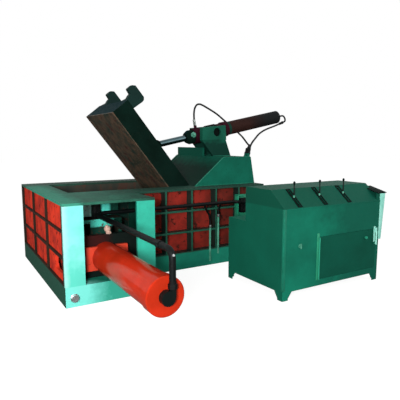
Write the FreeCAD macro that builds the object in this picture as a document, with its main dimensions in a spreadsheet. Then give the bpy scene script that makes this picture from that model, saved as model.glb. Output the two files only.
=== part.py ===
"""Three-way hydraulic scrap-metal baler with its lid open, in millimetres.

The origin lies on the floor where the axes of the two rams cross. +X runs along the
main press towards its cylinder, +Y runs from the side press into the machine and +Z is up.
"""
import FreeCAD, Part
import math
import os

import Sketcher
from FreeCAD import Vector

DIMENSIONS = {
    # press body
    "side_width": 936.0,          # side press box, outside, along X
    "side_reach": 560.0,          # side press box in front of the main wall
    "post_width": 196.0,
    "post_depth": 30.0,
    "chamber_width": 1040.0,
    "near_wall": 310.0,           # rib tips to chamber, near side
    "far_wall": 300.0,
    "end_wall": 280.0,
    "body_length": 2820.0,
    "base_height": 200.0,
    "body_height": 1000.0,
    "top_plate": 25.0,
    "liner": 12.0,
    "opening_past": 200.0,        # charging opening beyond the hinge
    "skin": 30.0,                 # outer skin of the end wall beside the side press
    "shallow_rib": 25.0,          # rib depth on the end and rear walls
    "deep_rib": 115.0,            # rib depth on the near wall
    "rib_thick": 22.0,
    "rib_end": 67.0,              # solid upright at each end of a rib lattice
    "end_wall_upright": 40.0,
    "rib_foot": 14.0,
    "thick_wall_from": 40.0,      # rib tips of the near wall to the end wall's thick part
    "cladding": 25.0,             # thickness of the side box wall
    "bulkhead": 80.0,
    "slot_width": 310.0,          # access slot in the end wall
    "slot_height": 165.0,
    "slot_centre": 310.0,         # from the front face
    "slot_rise": 368.0,
    "slot_round": 55.0,
    # rams
    "ram_gap": 4.0,
    "ram_lift": 0.5,
    "ram_height": 533.0,
    "side_ram_width": 460.0,
    "side_ram_length": 420.0,
    "side_stroke": 560.0,
    "main_ram_length": 500.0,
    "main_stroke": 980.0,
    "main_ram_face": 1262.0,
    "ram_plate": 40.0,
    "ram_boss": 120.0,            # half width of the block that takes the rod
    "ram_headroom": 18.0,
    "axis_height": 400.0,
    # the two large cylinders
    "press_tube": 155.0,          # outer radius
    "press_bore": 125.0,
    "press_rod": 80.0,
    "press_gland": 90.0,
    "press_collar": 70.0,
    "press_piston": 100.0,
    "press_cap": 110.0,
    "press_cap_rise": 10.0,
    "cap_chamfer": 8.0,
    "port_hub": 60.0,
    "port_reach": 55.0,
    "side_tube_length": 1260.0,
    "side_tube_set": 190.0,       # front frame face to the tube's open end
    "crossbeam": 60.0,
    "crossbeam_height": 430.0,
    "flange_size": 440.0,
    "flange_height": 399.4,
    "flange_thick": 50.0,
    "end_slack": 10.0,            # piston to cap at rest
    "fit": 0.05,                  # radial running clearance
    "seat": 0.3,
    "over": 5.0,                  # how far a cutter runs past what it cuts
    # lid
    "lid_open": 51.7,             # degrees
    "hinge_x": 1280.0,
    "hinge_z": 800.0,
    "hinge_pin": 32.0,
    "lug_radius": 48.0,
    "lid_reach": 1438.0,          # hinge to free end
    "lid_heel": 62.0,             # hinge to the lid's heel
    "lid_drop": 47.0,             # hinge above the lid's underside
    "lid_thick": 247.0,
    "lid_gap": 6.0,               # each side of the lid
    "heel_chamfer": 60.0,
    "arm_width": 60.0,
    "arm_radius": 66.0,
    "arm_inset": 200.0,
    "hook_thick": 70.0,
    "hook_near": 445.0,           # from the centre plane
    "hook_far": 285.0,
    "brace_width": 145.0,         # gusset beside each hook
    "brace_rise": 75.0,
    "brace_thick": 25.0,
    "knuckle_rim": 10.0,
    "lug_width": 70.0,
    "lug_gap": 6.0,
    "lug_root_from": 150.0,       # hinge to the lug's weld under the top plate
    "lug_root_to": 260.0,
    "lug_rise": 20.0,
    "lug_toe": 60.0,
    "pin_proud": 12.0,
    "ear_thick": 40.0,
    "ear_radius": 75.0,
    "eye_width": 80.0,
    "eye_gap": 6.0,
    "eye_radius": 62.0,
    "eye_pin": 34.0,
    "rod_pin_along": 665.4,       # hinge to rod pin along the closed lid
    "rod_pin_rise": 310.0,        # hinge to rod pin across the closed lid
    # lid cylinder
    "trunnion_x": 2022.0,
    "trunnion_z": 1700.0,
    "cylinder_tilt": 11.5,        # degrees
    "lid_tube": 98.0,
    "lid_bore": 80.0,
    "lid_rod": 43.0,
    "tube_front": 310.0,          # trunnion to the tube's open end
    "tube_tail": 1212.0,
    "lid_cap": 58.0,
    "lid_gland": 80.0,
    "nose_length": 120.0,
    "nose_tip": 70.0,
    "nose_taper": 48.0,
    "tube_chamfer": 10.0,
    "lid_piston": 70.0,
    "ring_rise": 12.0,
    "front_ring": 100.0,
    "front_port": 72.0,           # tube's open end to its hose port
    "rear_ring_at": 185.0,
    "rear_ring": 85.0,
    "trunnion_pin": 60.0,
    "trunnion_collar": 10.0,
    "trunnion_width": 150.0,
    "rod_reach": 929.6,           # trunnion to rod pin at rest
    # stand
    "stand_half": 650.0,
    "stand_plate": 20.0,
    "slope_run": 32.0,            # the sloping plate's thickness measured level
    "mitre": 6.0,
    "cross_plate": 30.0,
    "cross_height": 120.0,
    "stand_foot": 1380.0,
    "stand_front": 1819.0,
    "stand_back": 2264.0,
    "stand_end": 2332.0,
    "stand_height": 362.0,
    "pillar_gap": 3.0,
    "pillar_thick": 58.0,
    "pillar_left": 245.0,         # all from the trunnion's axis
    "pillar_chin": 115.0,
    "pillar_brow": 62.0,
    "pillar_right": 140.0,
    "pillar_top": 100.0,
    "pillar_waist": 155.0,
    "pillar_waist_drop": 110.0,
    "pillar_foot": 60.0,
    "housing": 14.0,              # thicker face round the trunnion
    "pin_recess": 30.0,
    # power unit
    "unit_x": 1402.0,
    "unit_length": 1420.0,
    "unit_front": -2310.0,
    "unit_depth": 930.0,
    "unit_lift": 85.0,
    "unit_eaves": 920.0,
    "unit_top": 1092.0,
    "unit_slope": 210.0,
    "unit_upper": 615.0,
    "tank_top": 715.0,
    "sheet_steel": 6.0,
    "door_offset": 485.0,
    "door_width": 885.0,
    "door_height": 450.0,
    "door_rise": 150.0,
    "door_gap": 3.0,
    "door_thick": 5.0,
    "door_barrel": 8.0,
    "door_set": 0.5,
    "hinge_aside": 2.0,
    "leaf_width": 20.0,
    "grip_edge": 30.0,
    "grip_reach": 34.0,
    "grip_drop": 175.0,
    "grip_length": 150.0,
    "grip_radius": 8.0,
    "stay_in": 10.0,
    "knob_aside": 145.0,
    "knob_reach": 22.5,
    "knob_drop": 85.0,
    "knob_radius": 16.0,
    "foot_thick": 8.0,
    "foot_leg": 75.0,
    "tank_length": 460.0,
    "lever_first": 216.0,
    "lever_pitch": 355.0,
    "lever_radius": 9.0,
    "lever_tip": 5.0,
    "lever_length": 245.0,
    "lever_hub": 19.5,
    "hub_width": 28.0,
    "pivot_drop": 75.0,           # lever pivots below the middle of the sloping panel
    "pivot_gap": 0.5,
    "slot_gate": 26.0,
    "gate_length": 170.0,
    "bank_past": 80.0,
    "bank_height": 130.0,
    "bank_behind": 55.0,
    "motor_rise": 200.0,          # cabinet floor to the motor's axis
    "motor_radius": 150.0,
    "motor_length": 380.0,
    "motor_foot_in": 40.0,
    "motor_foot_width": 280.0,
    "motor_foot_height": 90.0,
    "pump_from_tank": 30.0,
    "pump_radius": 95.0,
    "pump_length": 230.0,
    "pump_foot_in": 60.0,
    "pump_foot_width": 180.0,
    "pump_foot_height": 130.0,
    "coupling_room": 160.0,
    "coupling_radius": 55.0,
    # pipes and hoses
    "pipe_radius": 28.0,
    "drop_radius": 21.0,
    "pipe_bend": 80.0,
    "wall_pipe": 22.0,
    "wall_pipe_set": 60.0,
    "wall_pipe_height": 800.0,
    "wall_pipe_turn": 468.0,      # from the cabinet's left side
    "wall_pipe_end": 558.0,
    "wall_pipe_gap": 2.3,
    "tail_elbow_drop": 50.0,
    "tail_entry_rise": 13.0,
    "pipe_seat": 1.5,
    "drop_offset": 45.0,          # of the tail pipe beside the cylinder's axis
    "socket_radius": 29.0,
    "socket_height": 62.0,
    "block_size": 84.0,
    "block_shift": 15.0,
    "block_rise": 25.0,           # manifold's centre above the wall pipe
    "pipe_hole_gap": 8.0,
    "riser": 13.0,
    "hose": 13.0,
    "hose_gap": 0.4,
    "hose_lead_front": 90.0,      # straight starts and end of the hoses
    "hose_lead_rear": 106.0,
    "hose_lead_end": 75.0,
    "port_boss": 30.0,
    "port_radius": 22.0,
    "port_weld": 6.0,
    "stand_port_in": 26.0,        # first port from the stand's rear edge
    "stand_port_side": 30.0,      # first port from the stand's near side
    "stand_port_pitch": 60.0,
    "stand_port_lean": 32.8,      # degrees
    "stand_port_boss": 42.0,
    "tail_bend": 45.0,
}

doc = FreeCAD.newDocument("baler")
dim = doc.addObject("Spreadsheet::Sheet", "dim")
for row, (alias, number) in enumerate(DIMENSIONS.items(), start=1):
    dim.set(f"A{row}", alias)
    dim.set(f"B{row}", str(number))
    dim.setAlias(f"B{row}", alias)
doc.recompute()
probe = doc.addObject("App::FeaturePython", "probe")

# ---------------------------------------------------------------- places
LEFT = "(-dim.side_width / 2)"
RIGHT = f"({LEFT} + dim.body_length)"
BOX_RIGHT = "(dim.side_width / 2)"
CHAMBER_LEFT = f"({LEFT} + dim.end_wall)"
HALF = "(dim.chamber_width / 2)"
NEAR = f"(-{HALF} - dim.near_wall)"
FAR = f"({HALF} + dim.far_wall)"
FRONT = f"({NEAR} - dim.side_reach)"
WALL_TOP = "(dim.body_height - dim.top_plate)"
WALL_HEIGHT = f"({WALL_TOP} - dim.base_height)"
FLOOR = "(dim.base_height + dim.liner)"
PASSAGE_RIGHT = f"({CHAMBER_LEFT} + dim.side_ram_width + 2 * dim.ram_gap)"
BULKHEAD = f"({RIGHT} - dim.bulkhead)"
TUBE_Y = f"({FRONT} + dim.side_tube_set)"
SIDE_RAM_BACK = f"(-{HALF} - dim.side_ram_length)"
MAIN_RAM_BACK = "(dim.main_ram_face + dim.main_ram_length)"
MAIN_TUBE_LENGTH = "(dim.main_stroke + dim.press_gland + dim.press_piston + 2 * dim.end_slack)"
STAND_TOP = "(dim.body_height + dim.stand_height)"
PILLAR_IN = "(dim.lid_tube + dim.trunnion_collar + dim.pillar_gap)"
PILLAR_OUT = f"({PILLAR_IN} + dim.pillar_thick)"
TUBE_END = "(dim.tube_tail + dim.lid_cap)"
UNIT_RIGHT = "(dim.unit_x + dim.unit_length)"
UNIT_BACK = "(dim.unit_front + dim.unit_depth)"
DOOR_X = "(dim.unit_x + dim.door_offset)"
GATE_Y = "(dim.unit_front + dim.unit_slope / 2)"
GATE_Z = "((dim.unit_eaves + dim.unit_top) / 2)"
PIPE_Y = f"({NEAR} - dim.wall_pipe_set)"
PIPE_Z = "dim.wall_pipe_height"
PIVOT_Z = f"({GATE_Z} - dim.pivot_drop)"
HUB_Y = f"({TUBE_Y} - dim.side_tube_length - dim.press_cap - dim.port_reach / 2)"
BLOCK_Z = "(dim.wall_pipe_height + dim.block_rise)"

Y_AXIS = (0, 1, 0)
Z_AXIS = (0, 0, 1)
X_AXIS = (1, 0, 0)
UPRIGHT = None
ALONG_X = (Y_AXIS, "90")
ALONG_Y = (X_AXIS, "-90")
TO_FRONT = (Z_AXIS, "-90")
LID_TURN = (Y_AXIS, "dim.lid_open")
CYLINDER_TURN = (Y_AXIS, "-dim.cylinder_tilt")
AT_HINGE = ("dim.hinge_x", "0", "dim.hinge_z")
AT_TRUNNION = ("dim.trunnion_x", "0", "dim.trunnion_z")
AT_ORIGIN = ("0", "0", "0")

NODES = []


# ---------------------------------------------------------------- helpers
def value(expression):
    """Number that an expression over the sheet's dimensions gives."""
    return float(probe.evalExpression(expression))


def place(item, at, turn=None):
    """Bind an item's position, and its turn about one axis, to expressions."""
    for letter, expression in zip("xyz", at):
        item.setExpression(f"Placement.Base.{letter}", expression)
    if turn:
        axis, angle = turn
        for letter, part in zip("xyz", axis):
            item.setExpression(f"Placement.Rotation.Axis.{letter}", str(part))
        item.setExpression("Placement.Rotation.Angle", angle)
    return item


def node(item, label):
    """Give a finished sub-part its label and list it for export."""
    item.Label = label
    NODES.append(item)
    return item


def box(name, at, size, turn=None):
    """Rectangular block from its lowest corner."""
    item = doc.addObject("Part::Box", name)
    for side, expression in zip(("Length", "Width", "Height"), size):
        item.setExpression(side, expression)
    return place(item, at, turn)


def bar(name, at, radius, length, turn=UPRIGHT):
    """Round bar that starts at a point and runs along the turned axis."""
    item = doc.addObject("Part::Cylinder", name)
    item.setExpression("Radius", radius)
    item.setExpression("Height", length)
    return place(item, at, turn)


def fuse(name, pieces):
    """Weld several pieces into one."""
    item = doc.addObject("Part::MultiFuse", name)
    item.Shapes = pieces
    return item


def cut(name, base, tools):
    """Take one or several tools away from a base."""
    item = doc.addObject("Part::Cut", name)
    item.Base = base
    item.Tool = tools[0] if len(tools) == 1 else fuse(name + "_tools", tools)
    return item


def sketch_on(body, role, points, name):
    """Closed outline whose corners are bound to expressions."""
    sketch = body.newObject("Sketcher::SketchObject", name)
    plane = [item for item in body.Origin.OriginFeatures if item.Role == role][0]
    sketch.AttachmentSupport = [(plane, "")]
    sketch.MapMode = "FlatFace"
    corners = [Vector(value(across), value(up), 0) for across, up in points]
    count = len(corners)
    for index in range(count):
        sketch.addGeometry(Part.LineSegment(corners[index], corners[(index + 1) % count]), False)
    for index in range(count):
        sketch.addConstraint(Sketcher.Constraint("Coincident", index, 2, (index + 1) % count, 1))
    for index, pair in enumerate(points):
        for kind, expression in zip(("DistanceX", "DistanceY"), pair):
            number = sketch.addConstraint(
                Sketcher.Constraint(kind, -1, 1, index, 1, value(expression)))
            sketch.setExpression(f"Constraints[{number}]", expression)
    return sketch


def padded(name, role, points, length, at=AT_ORIGIN, turn=None, midplane=True):
    """Body padded from one outline, by default to both sides of its plane."""
    body = doc.addObject("PartDesign::Body", name)
    sketch = sketch_on(body, role, points, name + "_outline")
    pad = body.newObject("PartDesign::Pad", name + "_pad")
    pad.Profile = sketch
    pad.setExpression("Length", length)
    pad.Midplane = midplane
    return place(body, at, turn)


def turned(name, points, at, turn=None):
    """Body turned about its own X axis from an outline of (along, radius)."""
    body = doc.addObject("PartDesign::Body", name)
    sketch = sketch_on(body, "XZ_Plane", points, name + "_outline")
    revolution = body.newObject("PartDesign::Revolution", name + "_turning")
    revolution.Profile = sketch
    revolution.ReferenceAxis = (sketch, ["H_Axis"])
    revolution.Angle = 360.0
    return place(body, at, turn)


def rounded_along_x(block, radius):
    """Round the four edges of a block that run along X."""
    doc.recompute()
    item = doc.addObject("Part::Fillet", block.Name + "_rounds")
    item.Base = block
    size = value(radius)
    runs = [
        (number, size, size) for number, edge in enumerate(block.Shape.Edges, 1)
        if abs(edge.tangentAt(edge.FirstParameter).x) > 0.99
    ]
    item.Edges = runs
    return item


def rounded_wire(points, radii):
    """Straight runs joined by tangent arcs, as one wire."""
    edges = []
    start = points[0]
    for index in range(1, len(points) - 1):
        corner = points[index]
        before = (points[index - 1] - corner).normalize()
        after = (points[index + 1] - corner).normalize()
        turn = math.pi - before.getAngle(after)
        radius = radii[index - 1]
        trim = radius * math.tan(turn / 2)
        enter = corner + before * trim
        leave = corner + after * trim
        inward = (before + after).normalize()
        middle = corner + inward * (radius / math.cos(turn / 2) - radius)
        edges.append(Part.LineSegment(start, enter).toShape())
        edges.append(Part.Arc(enter, middle, leave).toShape())
        start = leave
    edges.append(Part.LineSegment(start, points[-1]).toShape())
    return Part.Wire(edges)


def turn_angles(points):
    """Angle by which a route turns at each inner point."""
    return [
        (points[i] - points[i - 1]).getAngle(points[i + 1] - points[i])
        for i in range(1, len(points) - 1)
    ]


def pipe(name, points, radius, bend):
    """Bent steel pipe with one bend radius."""
    wire = rounded_wire(points, [bend] * (len(points) - 2))
    return swept(name, wire, radius)


def hose(name, points, radius):
    """Free hose whose bends are as wide as its runs allow."""
    radii = []
    for index, turn in enumerate(turn_angles(points), start=1):
        run = min((points[index] - points[index - 1]).Length, (points[index + 1] - points[index]).Length)
        radii.append(0.45 * run / math.tan(turn / 2))
    print(name, "bend radii:", " ".join(f"{r:.0f}" for r in radii))
    return swept(name, rounded_wire(points, radii), radius)


def swept(name, wire, radius):
    """Round section carried along a wire."""
    start = wire.Edges[0].valueAt(wire.Edges[0].FirstParameter)
    heading = wire.Edges[0].tangentAt(wire.Edges[0].FirstParameter)
    section = Part.Wire([Part.Circle(start, heading, radius).toShape()])
    solid = wire.makePipeShell([section], True, False)
    expected = math.pi * radius ** 2 * wire.Length
    print(f"{name}: length {wire.Length:.0f}, volume ratio {solid.Volume / expected:.4f}")
    item = doc.addObject("Part::Feature", name)
    item.Shape = solid
    return item


# ---------------------------------------------------------------- press body
def base_frame():
    """L-shaped base under the main press and the side press."""
    outline = [
        (LEFT, FRONT), (BOX_RIGHT, FRONT), (BOX_RIGHT, NEAR),
        (RIGHT, NEAR), (RIGHT, FAR), (LEFT, FAR),
    ]
    node(padded("base", "XY_Plane", outline, "dim.base_height", midplane=False), "base_frame")


def top_plate():
    """Flange plate round the charging opening and over both presses."""
    outline = [
        (LEFT, FRONT), (BOX_RIGHT, FRONT), (BOX_RIGHT, NEAR),
        (RIGHT, NEAR), (RIGHT, FAR), (LEFT, FAR),
    ]
    body = padded("top", "XY_Plane", outline, "dim.top_plate", ("0", "0", WALL_TOP), midplane=False)
    opening_end = "(dim.hinge_x + dim.opening_past)"
    opening = [
        (CHAMBER_LEFT, f"-{HALF}"), (opening_end, f"-{HALF}"),
        (opening_end, HALF), (CHAMBER_LEFT, HALF),
    ]
    sketch = sketch_on(body, "XY_Plane", opening, "top_opening")
    pocket = body.newObject("PartDesign::Pocket", "top_pocket")
    pocket.Profile = sketch
    pocket.Type = 1
    pocket.Reversed = True
    node(body, "top_plate")


def walls():
    """Box walls round the chamber, with the access slot in the end wall."""
    passage_side = f"({CHAMBER_LEFT} - dim.liner)"
    skin_outer = f"({LEFT} + dim.shallow_rib)"
    skin_inner = f"({skin_outer} + dim.skin)"
    box_end = f"({FRONT} + dim.post_depth)"
    thick_from = f"({NEAR} + dim.thick_wall_from)"
    end_outline = [
        (skin_outer, box_end), (skin_inner, box_end), (skin_inner, thick_from),
        (passage_side, thick_from), (passage_side, f"({FAR} - dim.shallow_rib)"),
        (skin_outer, f"({FAR} - dim.shallow_rib)"),
    ]
    blank = padded("end_blank", "XY_Plane", end_outline, WALL_HEIGHT,
                   ("0", "0", "dim.base_height"), midplane=False)
    slot = box("slot_block", (f"{LEFT}", f"{FRONT} + dim.slot_centre - dim.slot_width / 2",
                              "dim.slot_rise - dim.slot_height / 2"),
               ("dim.shallow_rib + dim.skin + dim.over", "dim.slot_width", "dim.slot_height"))
    node(cut("end_cut", blank, [rounded_along_x(slot, "dim.slot_round")]), "end_wall")

    inner = f"(-{HALF} - dim.liner)"
    outer = f"({NEAR} + dim.deep_rib)"
    node(box("near", (PASSAGE_RIGHT, outer, "dim.base_height"),
             (f"{BULKHEAD} - {PASSAGE_RIGHT}", f"{inner} - {outer}", WALL_HEIGHT)), "near_wall")
    node(box("rear", (passage_side, f"{HALF} + dim.liner", "dim.base_height"),
             (f"{BULKHEAD} - {passage_side}", "dim.far_wall - dim.shallow_rib - dim.liner",
              WALL_HEIGHT)), "rear_wall")


ROWS = 3


def lattice(name, length, columns, end, depth, at, turn):
    """Welded ribs: three rows of windows between uprights, standing on the base."""
    window = f"(({WALL_HEIGHT} - dim.rib_foot - {ROWS - 1} * dim.rib_thick) / {ROWS})"
    pitch = f"(({length} - 2 * {end} + dim.rib_thick) / {columns})"
    body = doc.addObject("PartDesign::Body", name)
    slab = [("0", "0"), (length, "0"), (length, WALL_HEIGHT), ("0", WALL_HEIGHT)]
    sketch = sketch_on(body, "XZ_Plane", slab, name + "_slab")
    pad = body.newObject("PartDesign::Pad", name + "_pad")
    pad.Profile = sketch
    pad.setExpression("Length", depth)
    for line in range(ROWS):
        low = f"(dim.rib_foot + {line} * ({window} + dim.rib_thick))"
        right = f"({end} + {pitch} - dim.rib_thick)"
        outline = [(end, low), (right, low), (right, f"{low} + {window}"), (end, f"{low} + {window}")]
        opening = sketch_on(body, "XZ_Plane", outline, f"{name}_window{line}")
        pocket = body.newObject("PartDesign::Pocket", f"{name}_pocket{line}")
        pocket.Profile = opening
        pocket.Type = 1
        pocket.Reversed = True
        pattern = body.newObject("PartDesign::LinearPattern", f"{name}_columns{line}")
        pattern.Originals = [pocket]
        pattern.Direction = (opening, ["H_Axis"])
        pattern.setExpression("Length", f"{pitch} * {columns - 1}")
        pattern.Occurrences = columns
        body.Tip = pattern
    return place(body, at, turn)


def ribs():
    """Rib lattices on the near, end and rear walls."""
    near_length = f"({RIGHT} - {BOX_RIGHT})"
    near = lattice("near_lattice", near_length, 5, "dim.rib_end", "dim.deep_rib",
                   (BOX_RIGHT, f"{NEAR} + dim.deep_rib", "dim.base_height"), None)
    node(near, "near_ribs")
    end_length = f"({FAR} - dim.shallow_rib - {FRONT} - dim.post_depth)"
    end = lattice("end_lattice", end_length, 3, "dim.end_wall_upright", "dim.shallow_rib",
                  (f"{LEFT} + dim.shallow_rib", f"{FAR} - dim.shallow_rib", "dim.base_height"),
                  TO_FRONT)
    node(end, "end_ribs")
    rear = lattice("rear_lattice", "dim.body_length", 7, "dim.rib_end", "dim.shallow_rib",
                   (RIGHT, f"{FAR} - dim.shallow_rib", "dim.base_height"), (Z_AXIS, "180"))
    node(rear, "rear_ribs")


def main_bulkhead():
    """Thick end plate that carries the main cylinder."""
    plate = box("bulkhead_plate", (BULKHEAD, f"{NEAR} + dim.deep_rib", "dim.base_height"),
                ("dim.bulkhead", f"dim.chamber_width + dim.near_wall + dim.far_wall "
                 "- dim.deep_rib - dim.shallow_rib", WALL_HEIGHT))
    bore = bar("bulkhead_bore", (f"{BULKHEAD} - dim.over", "0", "dim.axis_height"),
               "dim.press_tube", "dim.bulkhead + 2 * dim.over", ALONG_X)
    node(cut("bulkhead_cut", plate, [bore]), "main_bulkhead")


def side_box():
    """Portal in front of the side press, its outer wall, crossbeam and header."""
    left = box("post_left", (LEFT, FRONT, "dim.base_height"),
               ("dim.post_width", "dim.post_depth", WALL_HEIGHT))
    right = box("post_right", (f"{BOX_RIGHT} - dim.post_width", FRONT, "dim.base_height"),
                ("dim.post_width", "dim.post_depth", WALL_HEIGHT))
    node(left, "left_post")
    node(right, "right_post")

    wall_x = f"({BOX_RIGHT} - dim.cladding)"
    wall_y = f"({FRONT} + dim.post_depth)"
    plate = box("cladding_plate", (wall_x, wall_y, "dim.base_height"),
                ("dim.cladding", f"{NEAR} + dim.deep_rib - {wall_y}", WALL_HEIGHT))
    hole = bar("cladding_hole", (f"{wall_x} - dim.over", PIPE_Y, PIPE_Z),
               "dim.wall_pipe + dim.pipe_hole_gap", "dim.cladding + 2 * dim.over", ALONG_X)
    node(cut("cladding_cut", plate, [hole]), "side_box_wall")

    inside_x = f"({LEFT} + dim.shallow_rib + dim.skin)"
    beam = box("beam_plate", (inside_x, TUBE_Y, "dim.base_height"),
               (f"{wall_x} - {inside_x}", "dim.crossbeam", "dim.crossbeam_height"))
    bore = bar("beam_bore", ("0", f"{TUBE_Y} - dim.over", "dim.axis_height"), "dim.press_tube",
               "dim.crossbeam + 2 * dim.over", ALONG_Y)
    node(cut("beam_cut", beam, [bore]), "side_crossbeam")

    lintel_z = f"({FLOOR} + dim.ram_height + dim.ram_headroom)"
    lintel_x = f"({CHAMBER_LEFT} - dim.liner)"
    node(box("lintel", (lintel_x, NEAR, lintel_z),
             (f"{PASSAGE_RIGHT} - {lintel_x}", "dim.near_wall", f"{WALL_TOP} - {lintel_z}")),
         "side_header")
    block_at = ("dim.block_shift - dim.block_size / 2", f"{NEAR} - dim.block_size",
                f"{BLOCK_Z} - dim.block_size / 2")
    node(box("block", block_at, ("dim.block_size", "dim.block_size", "dim.block_size")),
         "side_manifold")


def liners():
    """Wear plates inside the chamber."""
    floor = [
        (CHAMBER_LEFT, SIDE_RAM_BACK), (PASSAGE_RIGHT, SIDE_RAM_BACK), (PASSAGE_RIGHT, f"-{HALF}"),
        (BULKHEAD, f"-{HALF}"), (BULKHEAD, HALF), (CHAMBER_LEFT, HALF),
    ]
    node(padded("floor_plate", "XY_Plane", floor, "dim.liner", ("0", "0", "dim.base_height"),
                midplane=False), "floor_liner")
    node(box("end_plate", (f"{CHAMBER_LEFT} - dim.liner", f"-{HALF}", "dim.base_height"),
             ("dim.liner", "dim.chamber_width", WALL_HEIGHT)), "end_liner")
    near = box("near_plate", (PASSAGE_RIGHT, f"-{HALF} - dim.liner", "dim.base_height"),
               (f"{BULKHEAD} - {PASSAGE_RIGHT}", "dim.liner", WALL_HEIGHT))
    far = box("far_plate", (f"{CHAMBER_LEFT} - dim.liner", HALF, "dim.base_height"),
              (f"{BULKHEAD} - {CHAMBER_LEFT} + dim.liner", "dim.liner", WALL_HEIGHT))
    node(fuse("side_plates", [near, far]), "side_liners")


# ---------------------------------------------------------------- rams and large cylinders
def ram(name, at, size, back, label):
    """Welded ram: a box with a thick face and two pockets open to the back."""
    length_axis = 0 if back == "x" else 1
    block = box(name + "_block", at, size)
    web = "dim.ram_plate"
    boss = "(2 * dim.ram_boss)"
    pockets = []
    for side in (0, 1):
        corner = list(at)
        extent = list(size)
        across_axis = 1 - length_axis
        span = f"(({size[across_axis]} - {boss}) / 2 - {web})"
        offset = web if side == 0 else f"({size[across_axis]} - {web} - {span})"
        corner[across_axis] = f"({at[across_axis]} + {offset})"
        extent[across_axis] = span
        if back == "x":
            corner[0] = f"({at[0]} + {web})"
            extent[0] = f"({size[0]})"
        else:
            corner[1] = f"({at[1]} - {web})"
            extent[1] = f"({size[1]})"
        corner[2] = f"({at[2]} + {web})"
        extent[2] = f"({size[2]} - 2 * {web})"
        pockets.append(box(f"{name}_pocket{side}", corner, extent))
    node(cut(name + "_cut", block, pockets), label)


def press_cylinder(name, at, turn, length, reach, socket_at):
    """Tube, gland, end cap and rod with piston, drawn from the tube's open end."""
    tube, bore, rod = "dim.press_tube", "dim.press_bore", "dim.press_rod"
    rim = f"({tube} + dim.press_cap_rise)"
    end = f"({length} + dim.press_cap)"
    hub_end = f"({end} + dim.port_reach)"
    barrel = turned(name + "_t", [
        ("0", bore), (length, bore), (length, "0"), (hub_end, "0"), (hub_end, "dim.port_hub"),
        (end, "dim.port_hub"), (end, f"({rim} - dim.cap_chamfer)"),
        (f"({end} - dim.cap_chamfer)", rim), (length, rim), (length, tube), ("0", tube),
    ], at, turn)
    socket = bar(name + "_socket", socket_at, "dim.socket_radius", "dim.socket_height")
    node(fuse(name + "_barrel", [barrel, socket]), name + "_tube")
    clear = f"({rod} + dim.fit)"
    plug = f"({bore} - dim.fit)"
    collar = f"({tube} - dim.seat)"
    node(turned(name + "_g", [
        ("-dim.press_collar", clear), ("dim.press_gland", clear), ("dim.press_gland", plug),
        ("0", plug), ("0", collar), ("-dim.press_collar", collar),
    ], at, turn), name + "_gland")
    back = f"({length} - dim.end_slack)"
    front = f"({back} - dim.press_piston)"
    node(turned(name + "_r", [
        (f"-{reach}", "0"), (back, "0"), (back, plug), (front, plug), (front, rod), (f"-{reach}", rod),
    ], at, turn), name + "_rod")


def square_flange(name, at, along):
    """Square mounting flange with a round hole for the tube."""
    size, height, thick = "dim.flange_size", "dim.flange_height", "dim.flange_thick"
    if along == "y":
        plate = box(name + "_plate", (f"{at[0]} - {size} / 2", at[1], f"{at[2]} - {height} / 2"),
                    (size, thick, height))
        hole = bar(name + "_hole", (at[0], f"{at[1]} - dim.over", at[2]), "dim.press_tube + dim.fit",
                   f"{thick} + 2 * dim.over", ALONG_Y)
    else:
        plate = box(name + "_plate", (at[0], f"{at[1]} - {size} / 2", f"{at[2]} - {height} / 2"),
                    (thick, size, height))
        hole = bar(name + "_hole", (f"{at[0]} - dim.over", at[1], at[2]), "dim.press_tube + dim.fit",
                   f"{thick} + 2 * dim.over", ALONG_X)
    node(cut(name + "_cut", plate, [hole]), name)


def presses():
    """Side press and main press."""
    low = f"({FLOOR} + dim.ram_lift)"
    ram("side", (f"{CHAMBER_LEFT} + dim.ram_gap", SIDE_RAM_BACK, low),
        ("dim.side_ram_width", "dim.side_ram_length", "dim.ram_height"), "y", "side_ram")
    press_cylinder("side_cylinder", ("0", TUBE_Y, "dim.axis_height"), TO_FRONT,
                   "dim.side_tube_length", f"({SIDE_RAM_BACK} - {TUBE_Y})",
                   ("dim.drop_offset", HUB_Y, "dim.axis_height"))
    square_flange("side_flange", ("0", f"{TUBE_Y} - dim.flange_thick", "dim.axis_height"), "y")
    ram("main", ("dim.main_ram_face", f"-{HALF} + dim.ram_gap", low),
        ("dim.main_ram_length", "dim.chamber_width - 2 * dim.ram_gap", "dim.ram_height"), "x",
        "main_ram")
    press_cylinder("main_cylinder", (RIGHT, "0", "dim.axis_height"), None,
                   MAIN_TUBE_LENGTH, f"({RIGHT} - {MAIN_RAM_BACK})",
                   (f"{RIGHT} + {MAIN_TUBE_LENGTH} + dim.press_cap + dim.port_reach / 2", "0",
                    "dim.axis_height"))
    square_flange("main_flange", (RIGHT, "0", "dim.axis_height"), "x")


# ---------------------------------------------------------------- lid
def lid():
    """Lid box, wear plate, hinge arms, claw hooks and rod ears, turned open about the hinge."""
    half = f"({HALF} - dim.lid_gap)"
    under = "(-dim.lid_drop)"
    top = "(dim.lid_thick - dim.lid_drop)"
    shell_under = f"({under} + dim.liner)"
    outline = [
        ("-dim.lid_reach", shell_under), ("-dim.lid_heel", shell_under),
        ("-dim.lid_heel", f"{top} - dim.heel_chamfer"), ("-dim.lid_heel - dim.heel_chamfer", top),
        ("-dim.lid_reach", top),
    ]
    body = padded("lid_shell", "XZ_Plane", outline, f"2 * {half}", AT_HINGE, LID_TURN)
    node(body, "lid_box")
    plate = [
        ("-dim.lid_reach", under), ("-dim.lid_heel", under),
        ("-dim.lid_heel", shell_under), ("-dim.lid_reach", shell_under),
    ]
    node(padded("lid_wear", "XZ_Plane", plate, f"2 * {half}", AT_HINGE, LID_TURN), "lid_liner")
    lid_arms()
    lid_hooks(top)
    lid_ears(top)


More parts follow.
